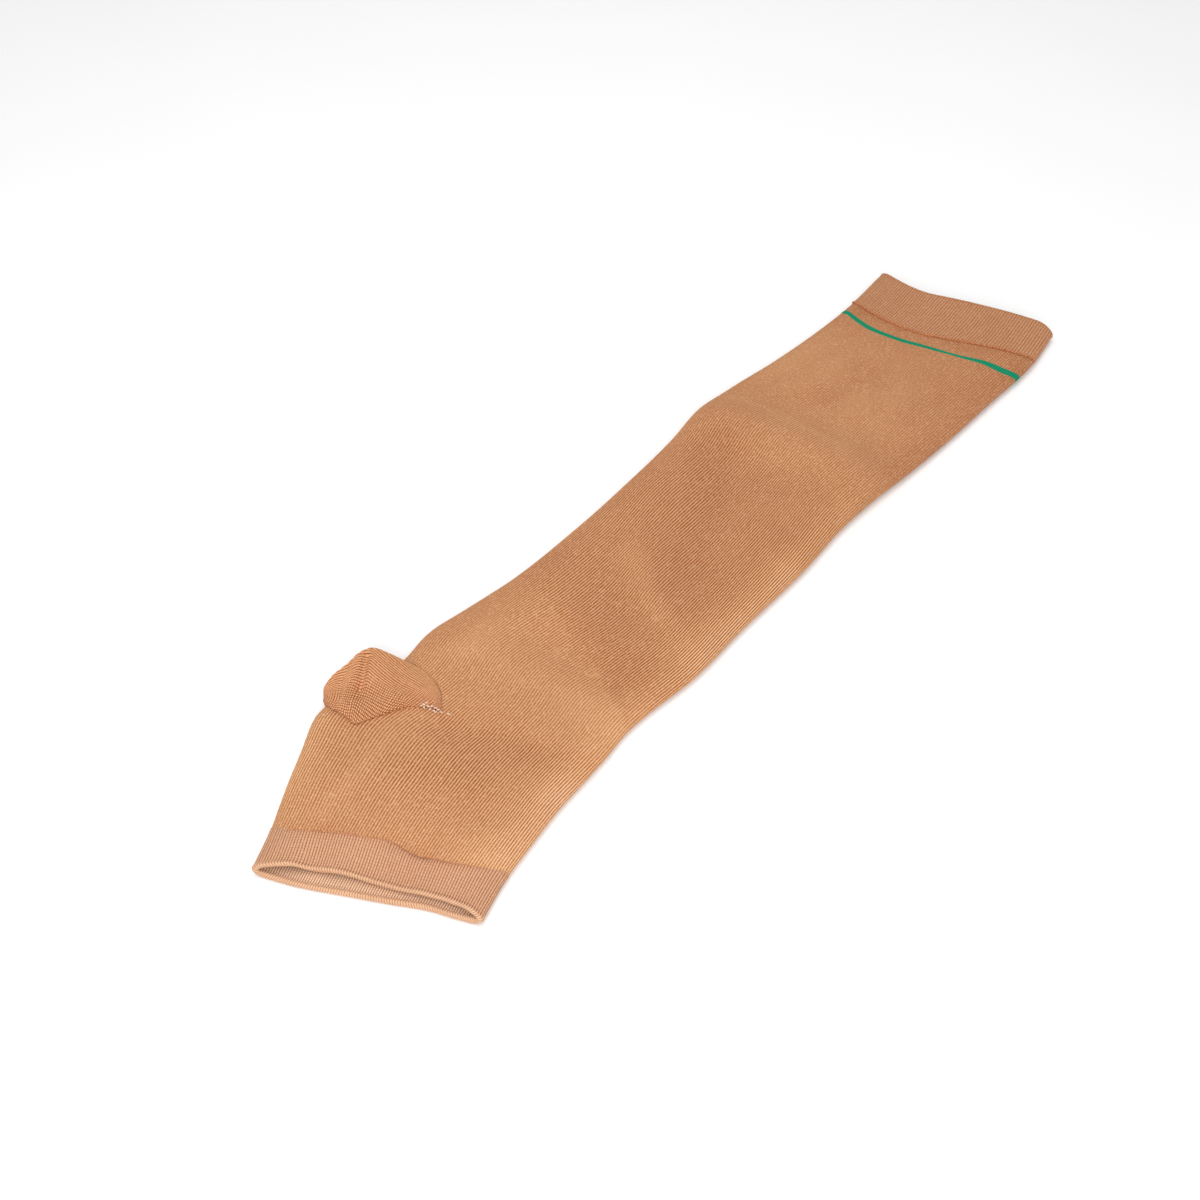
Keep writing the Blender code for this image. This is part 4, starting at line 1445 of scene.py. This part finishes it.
        sheet = KnitSheet(self.columns, self.rows + self.inner_rows + 2)
        back = np.rint(np.linspace(self.rows, 0, self.inner_rows + 1)).astype(int)
        steps = np.concatenate((np.arange(self.rows + 1), back, [0]))
        inside = np.concatenate((np.zeros(self.rows + 1), np.ones(len(back)), [0]))
        row, inside = steps[sheet.row], inside[sheet.row][:, None]
        points = outer[sheet.column, row] * (1.0 - inside) + inner[sheet.column, row] * inside
        points[:, 2] = np.maximum(points[:, 2], self.edge_least)
        tone = self.tone + self.upper_tone * (1.0 - meshed[row])
        sheet.lay(points, stitch[sheet.column], course[sheet.column, row], meshed[row], tone)
        sheet.merge()
        holes = [edge for edge in sheet.mesh.edges if edge.is_boundary]
        bmesh.ops.holes_fill(sheet.mesh, edges=holes, sides=0)
        piece = sheet.finish("heel_pocket_knit", HEEL_FINISH, "heel_knit")
        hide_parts("heel_pocket")
        return piece


@dataclass(frozen=True)
class ElasticEnd:
    """Thread end: its place ahead of the heel line and around, its turn and its length."""

    ahead: float
    around: float
    turn: float                     # degrees up from the courses
    length: float


ELASTIC_ENDS: tuple[ElasticEnd, ...] = (
    ElasticEnd(-1.4, 0.163, 20.0, 2.1),
    ElasticEnd(0.1, 0.164, 70.0, 1.7),
    ElasticEnd(-2.9, 0.170, -30.0, 1.9),
    ElasticEnd(-1.4, 0.173, 10.0, 2.2),
    ElasticEnd(-0.5, 0.178, 60.0, 1.7),
    ElasticEnd(-2.4, 0.181, -50.0, 1.8),
    ElasticEnd(-0.6, 0.186, 15.0, 2.0),
    ElasticEnd(-2.3, 0.189, -20.0, 1.6),
    ElasticEnd(-0.9, 0.193, 35.0, 1.7),
    ElasticEnd(-1.4, 0.201, -10.0, 1.5),
    ElasticEnd(-2.7, 0.163, 40.0, 1.6),
    ElasticEnd(-2.6, 0.194, 60.0, 1.4),
    ElasticEnd(-0.8, 0.214, 20.0, 1.5),
    ElasticEnd(-22.9, 0.035, -40.0, 1.8),
)


@dataclass
class Stitches:
    """Small separate stitches on the knit, each a drawn-out bead of thread."""

    form: ClothForm
    segments: int = 6
    rings: int = 4
    chain_count: int = 150
    chain_length: float = 2.3
    chain_width: float = 1.2
    chain_upper_lift: float = 0.05
    chain_lower_lift: float = -0.65     # sunk in, so that the sleeve lies flat on the floor
    chain_leans: tuple[float, float] = (-0.4, 0.5)      # every other stitch leans back
    elastic_lift: float = 0.8
    elastic_width: float = 0.7
    small_turn: float = 0.002       # steps over which the cloth's directions are read
    small_rise: float = 1.0

    def bead(self, mesh: bmesh.types.BMesh, middle: np.ndarray, direction: np.ndarray,
             up: np.ndarray, length: float, width: float) -> None:
        """Add one stitch.

        Args:
            mesh: The mesh that takes it.
            middle: Its middle, in millimetres.
            direction: The way it runs.
            up: The way it stands out from the cloth.
            length: How long it is, in millimetres.
            width: How thick it is.
        """
        ahead = Vector(direction).normalized()
        side = Vector(up).cross(ahead).normalized()
        rise = ahead.cross(side)
        turn = Matrix((ahead, side, rise)).transposed().to_4x4()
        size = Matrix.Diagonal((length / 2.0, width / 2.0, width / 2.0, 1.0))
        place = Matrix.Scale(MM, 4) @ Matrix.Translation(Vector(middle)) @ turn @ size
        bmesh.ops.create_uvsphere(mesh, u_segments=self.segments, v_segments=self.rings,
                                  radius=1.0, matrix=place)

    def build_welt_chain(self) -> bpy.types.Object:
        """Chain of seam stitches where the welt is joined to the leg.

        Returns:
            The piece.
        """
        form, rise = self.form, self.small_rise
        mesh = bmesh.new()
        around = np.arange(self.chain_count) / self.chain_count
        along = form.line("welt_seam", around)
        lift = np.where(around < 0.5, self.chain_upper_lift, self.chain_lower_lift)
        points = form.points(along, around, 0.0, lift)
        normals = form.normals(along, around)
        runs = np.roll(points, -1, axis=0) - np.roll(points, 1, axis=0)
        up_leg = form.points(along + rise, around) - form.points(along - rise, around)
        for place in range(self.chain_count):
            lean = self.chain_leans[place % 2] / 2.0
            direction = runs[place] / np.linalg.norm(runs[place]) + up_leg[place] * lean
            self.bead(mesh, points[place], direction, normals[place], self.chain_length,
                      self.chain_width)
        return make_piece("welt_seam_chain", mesh, SEAM_FINISH)

    def build_elastic(self) -> bpy.types.Object:
        """Pale elastic thread ends that show at the two ends of the gore.

        Returns:
            The piece.
        """
        form = self.form
        mesh = bmesh.new()
        for end in ELASTIC_ENDS:
            along = np.array(form.place["heel"] + end.ahead)
            turned = np.array(end.around)
            here = form.points(along, turned)
            across = form.points(along, turned + self.small_turn) - here
            up_leg = form.points(along + self.small_rise, turned) - here
            angle = math.radians(end.turn)
            direction = across / np.linalg.norm(across) * math.cos(angle)
            direction = direction + up_leg / np.linalg.norm(up_leg) * math.sin(angle)
            self.bead(mesh, form.points(along, turned, 0.0, self.elastic_lift), direction,
                      form.normals(along, turned), end.length, self.elastic_width)
        return make_piece("gore_elastic", mesh, ELASTIC_FINISH)


class LightKind(Enum):
    """What each studio light does."""

    KEY = "key_light"
    FILL = "fill_light"
    TOP = "top_light"


@dataclass(frozen=True)
class SoftLight:
    """Round soft light that faces the sleeve, in metres and watts."""

    place: tuple[float, float, float]
    size: float
    power: float


LIGHTS: dict[LightKind, SoftLight] = {
    LightKind.KEY: SoftLight((-0.35, 0.3, 1.25), 1.0, 4.5),
    LightKind.FILL: SoftLight((0.62, -0.95, 0.68), 0.8, 9.5),
    LightKind.TOP: SoftLight((0.1, -0.35, 1.3), 1.1, 4.5),
}


@dataclass
class Studio:
    """Plain pale floor, soft lights and the camera, in metres."""

    floor_size: float = 8.0
    floor_drop: float = 0.0002
    floor_grain: float = 8.0        # features across a metre
    world_strength: float = 0.52
    lens: float = 55.5
    camera_place: tuple[float, float, float] = (0.38699, -0.55971, 0.61024)
    camera_aim: tuple[float, float, float] = (-0.01340, -0.05363, 0.0)

    def build(self) -> None:
        """Build the studio."""
        self.build_floor()
        self.build_world()
        for kind, light in LIGHTS.items():
            self.build_light(kind, light)
        self.build_camera()
        bpy.context.scene.view_settings.view_transform = "Standard"

    def build_floor(self) -> None:
        """Floor of matt white paper."""
        mesh = bmesh.new()
        place = Matrix.Translation((0.0, 0.0, -self.floor_drop))
        bmesh.ops.create_grid(mesh, x_segments=1, y_segments=1, size=self.floor_size / 2.0,
                              matrix=place)
        data = bpy.data.meshes.new(FLOOR)
        mesh.to_mesh(data)
        mesh.free()
        paper = bpy.data.materials.new("matt_white_paper")
        paper.use_nodes = True
        paper.node_tree.nodes.clear()
        grain = add_node(paper, "TexNoise", {}, {
            "Vector": add_node(paper, "TexCoord").outputs["Object"],
            "Scale": self.floor_grain}).outputs["Fac"]
        tint = add_node(paper, "Mix", {"data_type": "RGBA"}, {
            "Factor": grain, "A": linear_colour("#FDFDFD"), "B": linear_colour("#FAFAFA")})
        shader = add_node(paper, "BsdfPrincipled", {}, {
            "Base Color": tint.outputs["Result"], "Roughness": 0.9, "Specular IOR Level": 0.1})
        add_node(paper, "OutputMaterial", {}, {"Surface": shader.outputs["BSDF"]})
        data.materials.append(paper)
        floor = bpy.data.objects.new(FLOOR, data)
        bpy.context.scene.collection.objects.link(floor)

    def build_world(self) -> None:
        """Even white surroundings."""
        world = bpy.data.worlds.new("studio_surroundings")
        world.use_nodes = True
        sky = world.node_tree.nodes["Background"]
        sky.inputs["Color"].default_value = linear_colour("#FFFFFF")
        sky.inputs["Strength"].default_value = self.world_strength
        bpy.context.scene.world = world

    def build_light(self, kind: LightKind, light: SoftLight) -> None:
        """Add a soft light that faces the sleeve.

        Args:
            kind: What it does, which names it.
            light: Its place, size and power.
        """
        lamp = bpy.data.lights.new(kind.value, "AREA")
        lamp.shape = "DISK"
        lamp.size = light.size
        lamp.energy = light.power
        piece = bpy.data.objects.new(kind.value, lamp)
        piece.location = light.place
        piece.rotation_euler = (-Vector(light.place)).to_track_quat("-Z", "Y").to_euler()
        bpy.context.scene.collection.objects.link(piece)

    def build_camera(self) -> None:
        """Add the camera, which looks down on the sleeve from beyond its instep side."""
        view = bpy.data.cameras.new("camera")
        view.lens = self.lens
        camera = bpy.data.objects.new("camera", view)
        camera.location = self.camera_place
        aim = Vector(self.camera_aim) - Vector(self.camera_place)
        camera.rotation_euler = aim.to_track_quat("-Z", "Y").to_euler()
        bpy.context.scene.collection.objects.link(camera)
        bpy.context.scene.camera = camera


def main() -> None:
    """Build the sleeve and the studio."""
    logging.basicConfig(level=logging.INFO, format="%(name)s: %(message)s")
    form = ClothForm()
    body = BodyKnit(form)
    body_piece = body.build()
    marker = MarkerCourse(form, body).build()
    cuff = RibbedEdge(
        form, "toe_cuff_rib", "toe_cuff", "cuff_rib", CUFF_FINISH, "toe_rim", "cuff_seam",
        ribs=172, roll=0.25, lower_roll=0.7, roll_width=1.7, rib_depth=0.34, stitch_depth=0.07,
        openness=1.0, rim_openness=0.6, rim_tone=0.08, rib_tone=0.4, pit_painted_shade=1.3,
        bead_painted_highlight=0.5, inner_painted_light=1.1, lip_rows=CUFF_LIP).build()
    # the real welt has about 200 ribs: they are drawn coarser so that they show
    welt = RibbedEdge(
        form, "top_welt_rib", "top_welt", "welt_rib", WELT_FINISH, "top_rim", "welt_seam",
        ribs=140, rows=84, inner_rows=28, roll=0.1, roll_width=1.6, rib_depth=0.3,
        purl_drop=0.15, openness=0.85, rim_tone=0.35, rib_tone=0.4).build()
    pocket = HeelPocket(form).build()
    stitches = Stitches(form)
    chain = stitches.build_welt_chain()
    elastic = stitches.build_elastic()
    Studio().build()


if __name__ == "__main__":
    main()
